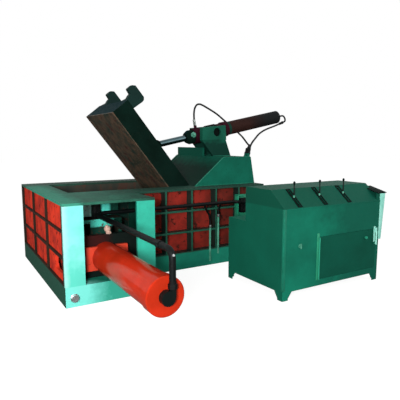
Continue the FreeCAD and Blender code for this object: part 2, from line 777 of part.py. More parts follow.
def lid_arms():
    """Two hinge arms on the lid's heel, bored for the pin."""
    pieces = []
    for index, sign in enumerate((-1, 1)):
        centre = f"({sign} * dim.arm_inset)"
        low_y = f"({centre} - dim.arm_width / 2)"
        arm = box(f"arm_block{index}", ("-dim.lid_heel", low_y, "-dim.lid_drop + dim.liner"),
                  ("dim.lid_heel", "dim.arm_width", "dim.arm_radius + dim.lid_drop - dim.liner"))
        knuckle = bar(f"arm_knuckle{index}", ("0", low_y, "0"),
                      "dim.lid_drop - dim.liner + dim.knuckle_rim", "dim.arm_width", ALONG_Y)
        pieces += [arm, knuckle]
    bore = bar("arm_bore", ("0", "-dim.chamber_width / 2", "0"), "dim.hinge_pin + dim.fit",
               "dim.chamber_width", ALONG_Y)
    node(place(cut("arms", fuse("arm_blanks", pieces), [bore]), AT_HINGE, LID_TURN), "lid_arms")


# Claw outline: along the lid from its free end, and above its top.
HOOK_OUTLINE = (
    (0.0, 0.0), (-22.0, 55.0), (-28.0, 88.0), (-86.0, 94.0), (-94.0, 104.0), (-94.0, 166.0),
    (-64.0, 202.0), (102.0, 205.0), (130.0, 182.0), (136.0, 150.0), (126.0, 0.0),
)


def lid_hooks(top):
    """Pair of claw hooks on the free end of the lid, each with a gusset on its far side."""
    seat = f"({top} + dim.seat)"
    points = [(f"(-dim.lid_reach + {along})", f"({seat} + {rise})") for along, rise in HOOK_OUTLINE]
    gusset = [("0", "0"), ("dim.brace_width", "0"), ("0", "dim.brace_rise")]
    pieces = []
    for index, centre in enumerate(("-dim.hook_near", "dim.hook_far")):
        pieces.append(padded(f"hook{index}", "XZ_Plane", points, "dim.hook_thick", ("0", centre, "0")))
        pieces.append(padded(f"hook_brace{index}", "YZ_Plane", gusset, "dim.brace_thick",
                             ("-dim.lid_reach", f"{centre} + dim.hook_thick / 2", seat),
                             midplane=False))
    node(place(fuse("hooks", pieces), AT_HINGE, LID_TURN), "lid_hooks")


def lid_ears(top):
    """Two ears on the lid that take the rod's pin, with pin ends fixed in them."""
    inner = "(dim.eye_width / 2 + dim.eye_gap)"
    ears = []
    pins = []
    centre_x = "-dim.rod_pin_along"
    for index, sign in enumerate((-1, 1)):
        low_y = f"({inner})" if sign > 0 else f"(-{inner} - dim.ear_thick)"
        block = box(f"ear_block{index}", (f"{centre_x} - dim.ear_radius", low_y, top),
                    ("2 * dim.ear_radius", "dim.ear_thick", f"dim.rod_pin_rise - {top}"))
        head = bar(f"ear_head{index}", (centre_x, low_y, "dim.rod_pin_rise"), "dim.ear_radius",
                   "dim.ear_thick", ALONG_Y)
        ears += [block, head]
        start = low_y if sign > 0 else f"({low_y} - dim.pin_proud)"
        pins.append(bar(f"pin_end{index}", (centre_x, start, "dim.rod_pin_rise"),
                        "dim.eye_pin", "dim.ear_thick + dim.pin_proud", ALONG_Y))
    bore = bar("ear_bore", (centre_x, f"-{HALF}", "dim.rod_pin_rise"), "dim.eye_pin + dim.fit",
               "dim.chamber_width", ALONG_Y)
    node(place(cut("ears", fuse("ear_blanks", ears), [bore]), AT_HINGE, LID_TURN), "lid_ears")
    node(place(fuse("pin_ends", pins), AT_HINGE, LID_TURN), "rod_pin_ends")


def hinge():
    """Fixed hinge lugs under the top plate and the pin through them."""
    inset = "(dim.arm_inset + dim.arm_width / 2 + dim.lug_gap)"
    root_z = f"({WALL_TOP} - dim.hinge_z)"
    outline = [
        ("0", "-dim.lug_radius"), ("0", "dim.lug_radius"), ("dim.lug_root_from", root_z),
        ("dim.lug_root_to", root_z), ("dim.lug_root_to", "dim.lug_rise"),
        ("dim.lug_toe", "-dim.lug_radius"),
    ]
    pieces = []
    for index, sign in enumerate((-1, 1)):
        centre = f"({sign} * ({inset} + dim.lug_width / 2))"
        pieces.append(padded(f"lug_foot{index}", "XZ_Plane", outline, "dim.lug_width",
                             ("dim.hinge_x", centre, "dim.hinge_z")))
        pieces.append(bar(f"lug_nose{index}",
                          ("dim.hinge_x", f"{centre} - dim.lug_width / 2", "dim.hinge_z"),
                          "dim.lug_radius", "dim.lug_width", ALONG_Y))
    bore = bar("lug_bore", ("dim.hinge_x", f"-{HALF}", "dim.hinge_z"),
               "dim.hinge_pin", "dim.chamber_width", ALONG_Y)
    node(cut("lugs", fuse("lug_blanks", pieces), [bore]), "hinge_lugs")
    reach = f"({inset} + dim.lug_width + dim.pin_proud)"
    node(bar("pin", ("dim.hinge_x", f"-{reach}", "dim.hinge_z"), "dim.hinge_pin", f"2 * {reach}",
             ALONG_Y), "hinge_pin")


# ---------------------------------------------------------------- stand and lid cylinder
def stand():
    """Pedestal of welded plates with two hose ports, and the pillars on it."""
    outline = [
        ("dim.stand_foot", "dim.body_height"), ("dim.stand_end", "dim.body_height"),
        ("dim.stand_back", STAND_TOP), ("dim.stand_front", STAND_TOP),
    ]
    thick = "dim.stand_plate"
    rim = f"(dim.stand_half - {thick} / 2)"
    pieces = [
        padded("near_gusset", "XZ_Plane", outline, thick, ("0", f"-{rim}", "0")),
        padded("far_gusset", "XZ_Plane", outline, thick, ("0", rim, "0")),
    ]
    inside = f"(2 * (dim.stand_half - {thick}))"
    under = f"({STAND_TOP} - {thick})"
    deck = [
        ("dim.stand_foot", "dim.body_height"), ("dim.stand_foot + dim.slope_run", "dim.body_height"),
        ("dim.stand_front + dim.mitre", under), ("dim.stand_back", under),
        ("dim.stand_back", STAND_TOP), ("dim.stand_front", STAND_TOP),
    ]
    pieces.append(padded("deck_plate", "XZ_Plane", deck, inside))
    back = [
        (f"dim.stand_end - {thick}", "dim.body_height"), ("dim.stand_end", "dim.body_height"),
        ("dim.stand_back", under), (f"dim.stand_back - {thick}", under),
    ]
    pieces.append(padded("back_plate", "XZ_Plane", back, inside))
    pieces.append(box("cross_plate", ("dim.stand_front", f"-{PILLAR_IN}", STAND_TOP),
                      ("dim.cross_plate", f"dim.stand_half - {thick} + {PILLAR_IN}",
                       "dim.cross_height")))
    for index in range(2):
        pieces += stand_port(index)
    node(fuse("stand_all", pieces), "stand")
    pillars()


PORT_LEAN_AXIS = (-0.3, 0.45, 0)


def stand_port_at(index):
    """Foot of one hose port on the stand's rear near corner."""
    return (
        "dim.stand_back - dim.stand_port_in",
        f"-dim.stand_half + dim.stand_port_side + {index} * dim.stand_port_pitch",
        STAND_TOP,
    )


def stand_port(index):
    """Leaning hose port and the flat collar that it is welded to."""
    at = stand_port_at(index)
    turn = (PORT_LEAN_AXIS, "dim.stand_port_lean")
    stub = bar(f"stand_port{index}", at, "dim.port_radius", "dim.stand_port_boss", turn)
    collar = bar(f"port_collar{index}", (at[0], at[1], f"{STAND_TOP} - dim.port_weld"),
                 "dim.port_radius + dim.port_weld / 2",
                 "dim.port_weld + dim.port_radius * sin(dim.stand_port_lean)")
    return [stub, collar]


def pillars():
    """Two leaning plates, thicker round the trunnion, that carry the lid cylinder."""
    deck = f"({STAND_TOP} - dim.trunnion_z)"
    head = [
        ("-dim.pillar_left", "-dim.pillar_chin"), ("dim.pillar_waist", "-dim.pillar_waist_drop"),
        ("dim.pillar_right", "dim.pillar_top"), ("-dim.pillar_left", "dim.pillar_brow"),
    ]
    leg = [("-dim.pillar_foot", deck), ("dim.stand_back - dim.trunnion_x", deck)] + head[1:] + head[:1]
    for name, sign in (("near", -1), ("far", 1)):
        plates = [
            padded(name + "_leg", "XZ_Plane", leg, "dim.pillar_thick",
                   ("dim.trunnion_x", f"{sign} * ({PILLAR_IN} + dim.pillar_thick / 2)",
                    "dim.trunnion_z")),
            padded(name + "_head", "XZ_Plane", head, "dim.housing",
                   ("dim.trunnion_x", f"{sign} * ({PILLAR_OUT} + dim.housing / 2)",
                    "dim.trunnion_z")),
        ]
        bore = bar(name + "_pillar_bore", ("dim.trunnion_x", f"-{HALF}", "dim.trunnion_z"),
                   "dim.trunnion_pin + dim.fit", "dim.chamber_width", ALONG_Y)
        node(cut(name + "_pillar_cut", fuse(name + "_pillar_all", plates), [bore]), name + "_pillar")


def lid_cylinder():
    """Cylinder that lifts the lid, hung in its trunnion, with its rod."""
    at, turn = AT_TRUNNION, CYLINDER_TURN
    tube, bore, rod = "dim.lid_tube", "dim.lid_bore", "dim.lid_rod"
    ring = f"({tube} + dim.ring_rise)"
    front = "(-dim.tube_front)"
    ring_a = f"({front} + dim.front_ring)"
    ring_b = "dim.rear_ring_at"
    ring_c = "(dim.rear_ring_at + dim.rear_ring)"
    barrel = turned("lid_tube_b", [
        (front, bore), ("dim.tube_tail", bore), ("dim.tube_tail", "0"), (TUBE_END, "0"),
        (TUBE_END, f"({tube} - dim.tube_chamfer)"), (f"({TUBE_END} - dim.tube_chamfer)", tube),
        (ring_c, tube), (ring_c, ring), (ring_b, ring), (ring_b, tube),
        (ring_a, tube), (ring_a, ring), (front, ring),
    ], AT_ORIGIN)
    top_port = bar("top_port", (f"{front} + dim.front_port", "0", f"({ring} - dim.port_weld)"),
                   "dim.port_radius", "dim.port_boss + dim.port_weld")
    tail_port = bar("tail_port", (TUBE_END, "0", "0"), "dim.port_radius", "dim.port_boss", ALONG_X)
    end = value(TUBE_END)
    corners = [Vector(end, 0, 0)] + [Vector(end, 0, 0) + Vector(*step) for step in TAIL_BEND]
    tail = pipe("tail_bend", corners, value("dim.hose"), value("dim.tail_bend"))
    node(place(fuse("lid_barrel", [barrel, top_port, tail_port, tail]), at, turn),
         "lid_cylinder_tube")
    plug = f"({bore} - dim.fit)"
    clear = f"({rod} + dim.fit)"
    nose = f"({front} - dim.nose_length)"
    node(turned("lid_gland_b", [
        (nose, clear), (f"{front} + dim.lid_gland", clear), (f"{front} + dim.lid_gland", plug),
        (front, plug), (front, tube), (f"{nose} + dim.nose_taper", tube), (nose, "dim.nose_tip"),
    ], at, turn), "lid_cylinder_gland")
    band = turned("band", [
        ("-dim.trunnion_width / 2", f"{tube} + dim.fit"), ("dim.trunnion_width / 2", f"{tube} + dim.fit"),
        ("dim.trunnion_width / 2", f"{tube} + dim.trunnion_collar"),
        ("-dim.trunnion_width / 2", f"{tube} + dim.trunnion_collar"),
    ], AT_ORIGIN)
    pin_end = f"({PILLAR_OUT} + dim.housing - dim.pin_recess)"
    pins = bar("band_pins", ("0", f"-{pin_end}", "0"), "dim.trunnion_pin", f"2 * {pin_end}", ALONG_Y)
    hollow = bar("band_hollow", ("-dim.trunnion_width", "0", "0"), f"{tube} + dim.fit",
                 "2 * dim.trunnion_width", ALONG_X)
    trunnion = cut("trunnion", fuse("trunnion_blank", [band, pins]), [hollow])
    node(place(trunnion, at, turn), "lid_trunnion")
    back = "(dim.tube_tail - dim.end_slack)"
    shank = turned("rod_shank", [
        ("-dim.rod_reach", "0"), (back, "0"), (back, plug), (f"{back} - dim.lid_piston", plug),
        (f"{back} - dim.lid_piston", rod), ("-dim.rod_reach", rod),
    ], AT_ORIGIN)
    eye = bar("rod_eye", ("-dim.rod_reach", "-dim.eye_width / 2", "0"), "dim.eye_radius",
              "dim.eye_width", ALONG_Y)
    bore = bar("rod_bore", ("-dim.rod_reach", "-dim.eye_width", "0"), "dim.eye_pin + dim.fit",
               "2 * dim.eye_width", ALONG_Y)
    node(place(cut("rod_cut", fuse("rod_blank", [shank, eye]), [bore]), at, turn), "lid_rod")
    node(bar("eye_pin_b", ROD_PIN, "dim.eye_pin", "dim.eye_width", ALONG_Y), "rod_eye_pin")


# Bent pipe on the tail port, from the middle of the tube's end face: along, aside and up.
TAIL_BEND = ((146, -5, 0), (158, -25, -92), (65, -50, -100))

ROD_PIN = (
    "(dim.trunnion_x - dim.rod_reach * cos(dim.cylinder_tilt))",
    "(-dim.eye_width / 2)",
    "(dim.trunnion_z - dim.rod_reach * sin(dim.cylinder_tilt))",
)


# ---------------------------------------------------------------- power unit
def unit_outline(inset):
    """Section of the cabinet, seen along X, drawn inwards by the sheet's thickness or nothing."""
    front = f"(dim.unit_front + {inset})"
    back = f"({UNIT_BACK} - {inset})"
    upper = f"(dim.unit_front + dim.unit_upper - {inset})"
    return [
        (front, f"(dim.unit_lift + {inset})"), (back, f"(dim.unit_lift + {inset})"),
        (back, f"(dim.tank_top - {inset})"), (upper, f"(dim.tank_top - {inset})"),
        (upper, f"(dim.unit_top - {inset})"),
        (f"(dim.unit_front + dim.unit_slope + 0.35 * {inset})", f"(dim.unit_top - {inset})"),
        (front, f"(dim.unit_eaves - 0.5 * {inset})"),
    ]


LEVERS = 3


def lever_x(index):
    """Where one lever stands along the cabinet."""
    return f"(dim.unit_x + dim.lever_first + {index} * dim.lever_pitch)"


def power_unit():
    """Cabinet with its feet, door, levers, tank and pump set."""
    outer = padded("cabinet_outer", "YZ_Plane", unit_outline("0"), "dim.unit_length",
                   ("dim.unit_x", "0", "0"), midplane=False)
    inner = padded("cabinet_inner", "YZ_Plane", unit_outline("dim.sheet_steel"),
                   "dim.unit_length - 2 * dim.sheet_steel", ("dim.unit_x + dim.sheet_steel", "0", "0"),
                   midplane=False)
    doorway = box("doorway", (DOOR_X, "dim.unit_front - dim.over", "dim.door_rise"),
                  ("dim.door_width", "dim.sheet_steel + 2 * dim.over", "dim.door_height"))
    gates = [
        box(f"gate{i}", (f"{lever_x(i)} - dim.slot_gate / 2", f"{GATE_Y} - dim.gate_length / 2",
                         "dim.unit_eaves - 4 * dim.over"),
            ("dim.slot_gate", "dim.gate_length", "dim.unit_top - dim.unit_eaves + 6 * dim.over"))
        for i in range(LEVERS)
    ]
    node(cut("cabinet", outer, [inner, doorway] + gates), "unit_cabinet")
    unit_feet()
    unit_door()
    unit_inside()
    for index in range(LEVERS):
        lever(index)


def unit_feet():
    """Four angle-iron feet under the cabinet's corners."""
    feet = []
    leg = "dim.foot_leg"
    for i, x in enumerate(("dim.unit_x", f"{UNIT_RIGHT} - {leg}")):
        for j, y in enumerate(("dim.unit_front", f"{UNIT_BACK} - {leg}")):
            block = box(f"foot{i}{j}", (x, y, "0"), (leg, leg, "dim.unit_lift"))
            hollow_x = f"{x} + (1 - 2 * {i}) * dim.foot_thick"
            hollow_y = f"{y} + (1 - 2 * {j}) * dim.foot_thick"
            hollow = box(f"foot_hollow{i}{j}", (hollow_x, hollow_y, "-dim.over"),
                         (leg, leg, "dim.unit_lift + 2 * dim.over"))
            feet.append(cut(f"foot_angle{i}{j}", block, [hollow]))
    node(fuse("feet", feet), "unit_feet")


HINGE_LINE = (
    f"({DOOR_X} - dim.hinge_aside)",
    "(dim.unit_front - dim.door_barrel - dim.seat)",
    "(dim.door_rise + dim.door_gap)",
)


def unit_door():
    """Sheet door with a hinge leaf and barrel, a bow handle and a turn latch."""
    face = "(dim.unit_front + dim.door_set)"
    top = "(dim.door_rise + dim.door_height)"
    at = (f"{DOOR_X} + dim.door_gap", face, "dim.door_rise + dim.door_gap")
    height = "(dim.door_height - 2 * dim.door_gap)"
    panel = box("door_panel", at, ("(dim.door_width - 2 * dim.door_gap)", "dim.door_thick", height))
    grip_x = f"({DOOR_X} + dim.door_width - dim.grip_edge)"
    grip_y = f"({face} - dim.grip_reach)"
    grip = bar("door_grip", (grip_x, grip_y, f"{top} - dim.grip_drop"), "dim.grip_radius",
               "dim.grip_length")
    stays = [
        bar(f"grip_stay{i}", (grip_x, grip_y, f"{top} - dim.grip_drop + {along}"),
            "dim.grip_radius * 0.75", "dim.grip_reach + dim.door_set", ALONG_Y)
        for i, along in enumerate(("dim.stay_in", "(dim.grip_length - dim.stay_in)"))
    ]
    knob = bar("door_knob", (f"{grip_x} - dim.knob_aside", f"{face} - dim.knob_reach",
                             f"{top} - dim.knob_drop"),
               "dim.knob_radius", "dim.knob_reach + dim.door_set", ALONG_Y)
    barrel = bar("door_barrel", HINGE_LINE, "dim.door_barrel", height)
    leaf = box("door_leaf", (at[0], f"{face} - dim.door_thick", at[2]),
               ("dim.leaf_width", "dim.door_thick + dim.door_set", height))
    node(fuse("door", [panel, grip, knob, barrel, leaf] + stays), "unit_door")


def unit_inside():
    """Oil tank, valve bank, motor, pump and the coupling between them."""
    floor = "(dim.unit_lift + dim.sheet_steel)"
    wall = "(dim.sheet_steel + dim.seat)"
    node(box("tank", (f"dim.unit_x + {wall}", f"dim.unit_front + {wall}", floor),
             ("dim.tank_length", f"dim.unit_depth - 2 * {wall}",
              f"dim.tank_top - {floor} - {wall}")), "oil_tank")
    axis_y = "(dim.unit_front + dim.unit_depth / 2)"
    axis_z = f"({floor} + dim.motor_rise)"
    pump_x = "(dim.unit_x + dim.tank_length + dim.pump_from_tank)"
    motor_x = f"({pump_x} + dim.pump_length + dim.coupling_room)"
    motor_case = bar("motor_case", (motor_x, axis_y, axis_z), "dim.motor_radius",
                     "dim.motor_length", ALONG_X)
    motor_foot = box("motor_foot", (f"{motor_x} + dim.motor_foot_in",
                                    f"{axis_y} - dim.motor_foot_width / 2", floor),
                     ("dim.motor_length - 2 * dim.motor_foot_in", "dim.motor_foot_width",
                      "dim.motor_foot_height"))
    node(fuse("motor_all", [motor_case, motor_foot]), "motor")
    pump_body = bar("pump_body", (pump_x, axis_y, axis_z), "dim.pump_radius", "dim.pump_length",
                    ALONG_X)
    pump_foot = box("pump_foot", (f"{pump_x} + dim.pump_foot_in",
                                  f"{axis_y} - dim.pump_foot_width / 2", floor),
                    ("dim.pump_length - 2 * dim.pump_foot_in", "dim.pump_foot_width",
                     "dim.pump_foot_height"))
    node(fuse("pump_all", [pump_body, pump_foot]), "pump")
    node(bar("coupling", (f"{pump_x} + dim.pump_length + dim.seat", axis_y, axis_z),
             "dim.coupling_radius", "dim.coupling_room - 2 * dim.seat", ALONG_X), "drive_coupling")
    bank_y = f"(dim.unit_front + {wall})"
    node(box("bank", (f"{lever_x(0)} - dim.bank_past", bank_y,
                      f"{PIVOT_Z} - dim.lever_hub - dim.pivot_gap - dim.bank_height"),
             (f"{LEVERS - 1} * dim.lever_pitch + 2 * dim.bank_past",
              f"{GATE_Y} + dim.bank_behind - {bank_y}", "dim.bank_height")), "valve_bank")


def lever(index):
    """Valve lever that stands out of its slot, on a pivot above the valve bank."""
    stem = doc.addObject("Part::Cone", f"stem{index}")
    stem.setExpression("Radius1", "dim.lever_radius")
    stem.setExpression("Radius2", "dim.lever_tip")
    stem.setExpression("Height", "dim.lever_length")
    place(stem, (lever_x(index), GATE_Y, PIVOT_Z))
    hub = bar(f"lever_hub{index}", (f"{lever_x(index)} - dim.hub_width / 2", GATE_Y, PIVOT_Z),
              "dim.lever_hub", "dim.hub_width", ALONG_X)
    node(fuse(f"lever_all{index}", [stem, hub]), f"lever_{index + 1}")


# ---------------------------------------------------------------- pipes and hoses
# Vertical pipes on the near ribs: distance along X, lower end and upper end.
RISERS = ((1488, 60, 513), (1610, 140, 640))


def pipes():
    """Steel pipes of the side press and two risers on the near wall."""
    bend = value("dim.pipe_bend")
    block = Vector(value("dim.block_shift"), value(f"{NEAR} - dim.block_size"), value(BLOCK_Z))
    hub = Vector(value("dim.drop_offset"), value(HUB_Y), value("dim.axis_height + dim.socket_height"))
    elbow = Vector(hub.x, hub.y, value(f"{BLOCK_Z} - dim.tail_elbow_drop"))
    entry = block + Vector(0, -value("dim.pipe_seat"), value("dim.tail_entry_rise"))
    node(pipe("tail_line", [hub, elbow, entry], value("dim.drop_radius"), bend), "tail_pipe")
    y = value(PIPE_Y)
    z = value(PIPE_Z)
    wall = [
        Vector(block.x + value("dim.block_size / 2 + dim.seat"), y, z),
        Vector(value("dim.unit_x + dim.wall_pipe_turn"), y, z),
        Vector(value("dim.unit_x + dim.wall_pipe_end"),
               value("dim.unit_front + dim.unit_upper + dim.wall_pipe_gap"), z),
    ]
    node(pipe("wall_line", wall, value("dim.wall_pipe"), bend), "wall_pipe")
    riser_y = value(f"{NEAR} - dim.riser - dim.seat")
    risers = [
        pipe(f"riser{index}", [Vector(x, riser_y, low), Vector(x, riser_y, high)],
             value("dim.riser"), bend)
        for index, (x, low, high) in enumerate(RISERS)
    ]
    node(fuse("risers", risers), "riser_pipes")


# Free runs of the two hoses, from the trunnion's axis at rest: along X, Y and Z.
FRONT_HOSE = (
    (-272, 5, 335), (-162, 70, 420), (53, 130, 345), (213, 150, 275), (378, 165, 165),
    (538, 170, 65), (593, 60, -40), (508, -110, -75), (493, -275, -195), (368, -465, -175),
)
REAR_HOSE = (
    (1093, -115, 100), (938, -165, 65), (788, -230, 25), (643, -310, -25), (513, -400, -85),
    (348, -515, -165),
)


def hoses():
    """Two hydraulic hoses from the lid cylinder to the ports on the stand."""
    pivot = Vector(*(value(part) for part in AT_TRUNNION))
    tilt = FreeCAD.Rotation(Vector(*Y_AXIS), -value("dim.cylinder_tilt"))
    gap = value("dim.hose_gap")
    port = Vector(value("dim.front_port - dim.tube_front"), 0,
                  value("dim.lid_tube + dim.ring_rise + dim.port_boss") + gap)
    start = pivot + tilt.multVec(port)
    front = [start, start + tilt.multVec(Vector(0, 0, value("dim.hose_lead_front")))]
    front += [pivot + Vector(*step) for step in FRONT_HOSE]
    node(hose("hose_f", front + hose_landing(1), value("dim.hose")), "front_hose")

    end = value(TUBE_END)
    before, last = (Vector(end, 0, 0) + Vector(*step) for step in TAIL_BEND[-2:])
    along = (last - before).normalize()
    rear = [
        pivot + tilt.multVec(last + along * gap),
        pivot + tilt.multVec(last + along * value("dim.hose_lead_rear")),
    ]
    rear += [pivot + Vector(*step) for step in REAR_HOSE]
    node(hose("hose_r", rear + hose_landing(0), value("dim.hose")), "rear_hose")


def hose_landing(index):
    """Last two points of a hose, in line with its port on the stand."""
    foot = Vector(*(value(part) for part in stand_port_at(index)))
    lean = FreeCAD.Rotation(Vector(*PORT_LEAN_AXIS), value("dim.stand_port_lean"))
    along = lean.multVec(Vector(*Z_AXIS))
    end = foot + along * value("dim.stand_port_boss + dim.hose_gap")
    return [end + along * value("dim.hose_lead_end"), end]


def check_and_write():
    """Stop if anything failed, then write each sub-part to its own file."""
    doc.recompute()
    for item in doc.Objects:
        if any(word in item.State for word in ("Invalid", "Error")):
            raise RuntimeError(f"{item.Name} failed: {item.State}")
    os.makedirs("parts", exist_ok=True)
    for item in NODES:
        shape = item.Shape
        if shape.isNull() or not shape.isValid() or not shape.Solids:
            raise RuntimeError(f"{item.Label} has no valid solid")
        shape.exportStep(f"parts/{item.Label}.step")
    print(len(NODES), "sub-parts written")


base_frame()
top_plate()
walls()
ribs()
main_bulkhead()
side_box()
liners()
presses()
lid()
hinge()
stand()
lid_cylinder()
power_unit()
pipes()
hoses()
check_and_write()
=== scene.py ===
"""Finishes, small fittings, hoses, light and camera of a hydraulic scrap-metal baler.

Everything is in metres in the machine's own frame: +X runs along the main press towards
its cylinder, +Y from the side press into the machine, +Z up, with the floor at zero.
"""
import logging
import math
from contextlib import contextmanager
from dataclasses import dataclass
from enum import Enum
from typing import Any, Callable, Iterator, Sequence

import bpy
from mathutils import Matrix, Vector


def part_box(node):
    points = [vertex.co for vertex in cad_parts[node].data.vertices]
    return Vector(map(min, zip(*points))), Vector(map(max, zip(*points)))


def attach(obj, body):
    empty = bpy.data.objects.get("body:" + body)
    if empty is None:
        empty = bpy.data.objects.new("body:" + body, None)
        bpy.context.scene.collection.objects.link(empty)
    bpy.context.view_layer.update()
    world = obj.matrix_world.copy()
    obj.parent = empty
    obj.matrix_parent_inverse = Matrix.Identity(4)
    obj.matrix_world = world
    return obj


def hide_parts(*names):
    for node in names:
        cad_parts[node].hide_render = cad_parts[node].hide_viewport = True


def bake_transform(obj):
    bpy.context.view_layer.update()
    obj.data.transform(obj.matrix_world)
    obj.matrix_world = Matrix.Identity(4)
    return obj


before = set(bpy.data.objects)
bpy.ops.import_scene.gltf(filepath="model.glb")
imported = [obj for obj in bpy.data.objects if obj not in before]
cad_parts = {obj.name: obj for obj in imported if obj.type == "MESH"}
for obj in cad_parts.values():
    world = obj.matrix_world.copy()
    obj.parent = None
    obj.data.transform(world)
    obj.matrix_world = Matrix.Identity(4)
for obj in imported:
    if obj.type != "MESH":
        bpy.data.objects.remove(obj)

log = logging.getLogger("baler")

Point = tuple[float, float, float] | Vector
Span = tuple[float, float]
Profile = Sequence[Span]
Colour = tuple[float, float, float, float]
Piece = bpy.types.Object
Tree = bpy.types.NodeTree
Socket = bpy.types.NodeSocket


def linear(code: str) -> Colour:
    """Turn an sRGB hex colour into linear values.

    Args:
        code: Six hex digits, such as "22BFA0".

    Returns:
        Linear red, green and blue, with an alpha of one.
    """
    parts = [int(code[i:i + 2], 16) / 255 for i in (0, 2, 4)]
    red, green, blue = (p / 12.92 if p <= 0.04045 else ((p + 0.055) / 1.055) ** 2.4 for p in parts)
    return red, green, blue, 1.0


def add_node(tree: Tree, kind: str, feeds: dict[Any, Any] | None = None,
             settings: dict[str, Any] | None = None) -> bpy.types.Node:
    """Add a shader node, set its options and feed its sockets.

    Args:
        tree: The node tree that takes the node.
        kind: The node's type name after "ShaderNode".
        feeds: Values or output sockets for its inputs, by name or number.
        settings: Options of the node; "stops" holds a ramp's positions and colours.

    Returns:
        The new node.
    """
    item = tree.nodes.new(f"ShaderNode{kind}")
    for key, val in (settings or {}).items():
        if key != "stops":
            setattr(item, key, val)
            continue
        stops = item.color_ramp.elements
        while len(stops) < len(val):
            stops.new(0.5)
        for stop, (place, colour) in zip(stops, val):
            stop.position = place
            stop.color = colour
    for key, val in (feeds or {}).items():
        if isinstance(val, Socket):
            tree.links.new(val, item.inputs[key])
        else:
            item.inputs[key].default_value = val
    return item


def noise(tree: Tree, place: Socket, size_mm: float, detail: float, roughness: float = 0.5) -> Socket:
    """Noise with features about this many millimetres wide."""
    return add_node(tree, "TexNoise", {
        "Vector": place, "Scale": 1000.0 / size_mm, "Detail": detail,
        "Roughness": roughness}).outputs["Fac"]


def mapped(tree: Tree, value: Socket, source: Span, target: Span) -> Socket:
    """A value with its source range laid on the target range and held inside it."""
    return add_node(tree, "MapRange", {
        "Value": value, "From Min": source[0], "From Max": source[1],
        "To Min": target[0], "To Max": target[1]}).outputs["Result"]


def mixed(tree: Tree, share: Socket, under: Socket, over: Colour) -> Socket:
    """One colour laid over another by a share."""
    return add_node(tree, "Mix", {0: share, 6: under, 7: over}, {"data_type": "RGBA"}).outputs[2]


def cleared(owner: bpy.types.Material | bpy.types.World) -> Tree:
    """The node tree of a material or world, switched on and emptied."""
    owner.use_nodes = True
    owner.node_tree.nodes.clear()
    return owner.node_tree


def grey(level: float) -> Colour:
    """A neutral colour."""
    return level, level, level, 1.0


class Reads(Enum):
    """What a layer of paint, dirt, painted light or painted shade is laid out by."""

    PLACE = "Object"
    FACING = "Normal"


@dataclass(frozen=True)
class Layer:
    """Paint, dirt, painted light or painted shade over part of a surface, from where it starts to where
    it is full.

    The place or the facing of a point is measured along a direction, in metres or as the
    share of it that the surface faces.
    """

    colour: str
    toward: Point
    start: float
    full: float
    reads: Reads = Reads.PLACE
    strength: float = 1.0
    ragged: float = 0.0
    ragged_mm: float = 90.0


@dataclass(frozen=True)
class Finish:
    """One surface finish: a base, a shade that drifts over it, marks, layers and a fine bump."""

    name: str
    base: str
    shade: str
    mark: str
    drift_mm: float = 320.0
    mark_mm: float = 28.0
    mark_share: float = 0.34
    stretch: Point = (1.0, 1.0, 1.0)
    grain_mm: float = 3.0
    grain_depth: float = 0.05
    roughness: Span = (0.32, 0.5)
    metallic: float = 0.0
    specular: float = 0.5
    layers: tuple[Layer, ...] = ()

    def build(self) -> bpy.types.Material:
        """Make the material once and return it after that."""
        if self.name in bpy.data.materials:
            return bpy.data.materials[self.name]
        material = bpy.data.materials.new(self.name)
        tree = cleared(material)
        place = add_node(tree, "TexCoord")
        pulled = add_node(tree, "Mapping", {
            "Vector": place.outputs["Object"], "Scale": self.stretch}).outputs["Vector"]
        drift = noise(tree, pulled, self.drift_mm, 5.0, 0.62)
        tone = add_node(tree, "ValToRGB", {"Fac": drift}, {"stops": [
            (0.34, linear(self.shade)), (0.62, linear(self.base))]}).outputs["Color"]
        for layer in self.layers:
            tone = self.lay(tree, place, tone, layer)
        spots = noise(tree, pulled, self.mark_mm, 6.0, 0.7)
        picked = add_node(tree, "ValToRGB", {"Fac": spots}, {"stops": [
            (self.mark_share, grey(1.0)), (self.mark_share + 0.05, grey(0.0))]}).outputs["Color"]
        bump = add_node(tree, "Bump", {
            "Strength": self.grain_depth, "Distance": self.grain_mm / 1000.0,
            "Height": noise(tree, pulled, self.grain_mm, 3.0)})
        smooth, rough = self.roughness
        feeds: dict[Any, Any] = {
            "Base Color": mixed(tree, picked, tone, linear(self.mark)), "Metallic": self.metallic,
            "Roughness": mapped(tree, spots, (0.3, 0.7), (rough, smooth)),
            "Normal": bump.outputs["Normal"]}
        if not self.metallic:
            feeds["Specular IOR Level"] = self.specular
        shader = add_node(tree, "BsdfPrincipled", feeds)
        add_node(tree, "OutputMaterial", {"Surface": shader.outputs["BSDF"]})
        return material

    @staticmethod
    def lay(tree: Tree, place: bpy.types.Node, tone: Socket, layer: Layer) -> Socket:
        """Lay one layer over the colour so far.

        Args:
            tree: The material's node tree.
            place: Its texture coordinates.
            tone: The colour so far.
            layer: The layer to lay.

        Returns:
            The colour with the layer on it.
        """
        along = add_node(tree, "VectorMath", {
            0: place.outputs[layer.reads.value], 1: layer.toward},
            {"operation": "DOT_PRODUCT"}).outputs["Value"]
        if layer.ragged:
            torn = noise(tree, place.outputs["Object"], layer.ragged_mm, 4.0, 0.65)
            swing = mapped(tree, torn, (0.3, 0.7), (-layer.ragged, layer.ragged))
            along = add_node(tree, "Math", {0: along, 1: swing}, {"operation": "ADD"}).outputs[0]
        cover = mapped(tree, along, (layer.start, layer.full), (0.0, layer.strength))
        return mixed(tree, cover, tone, linear(layer.colour))


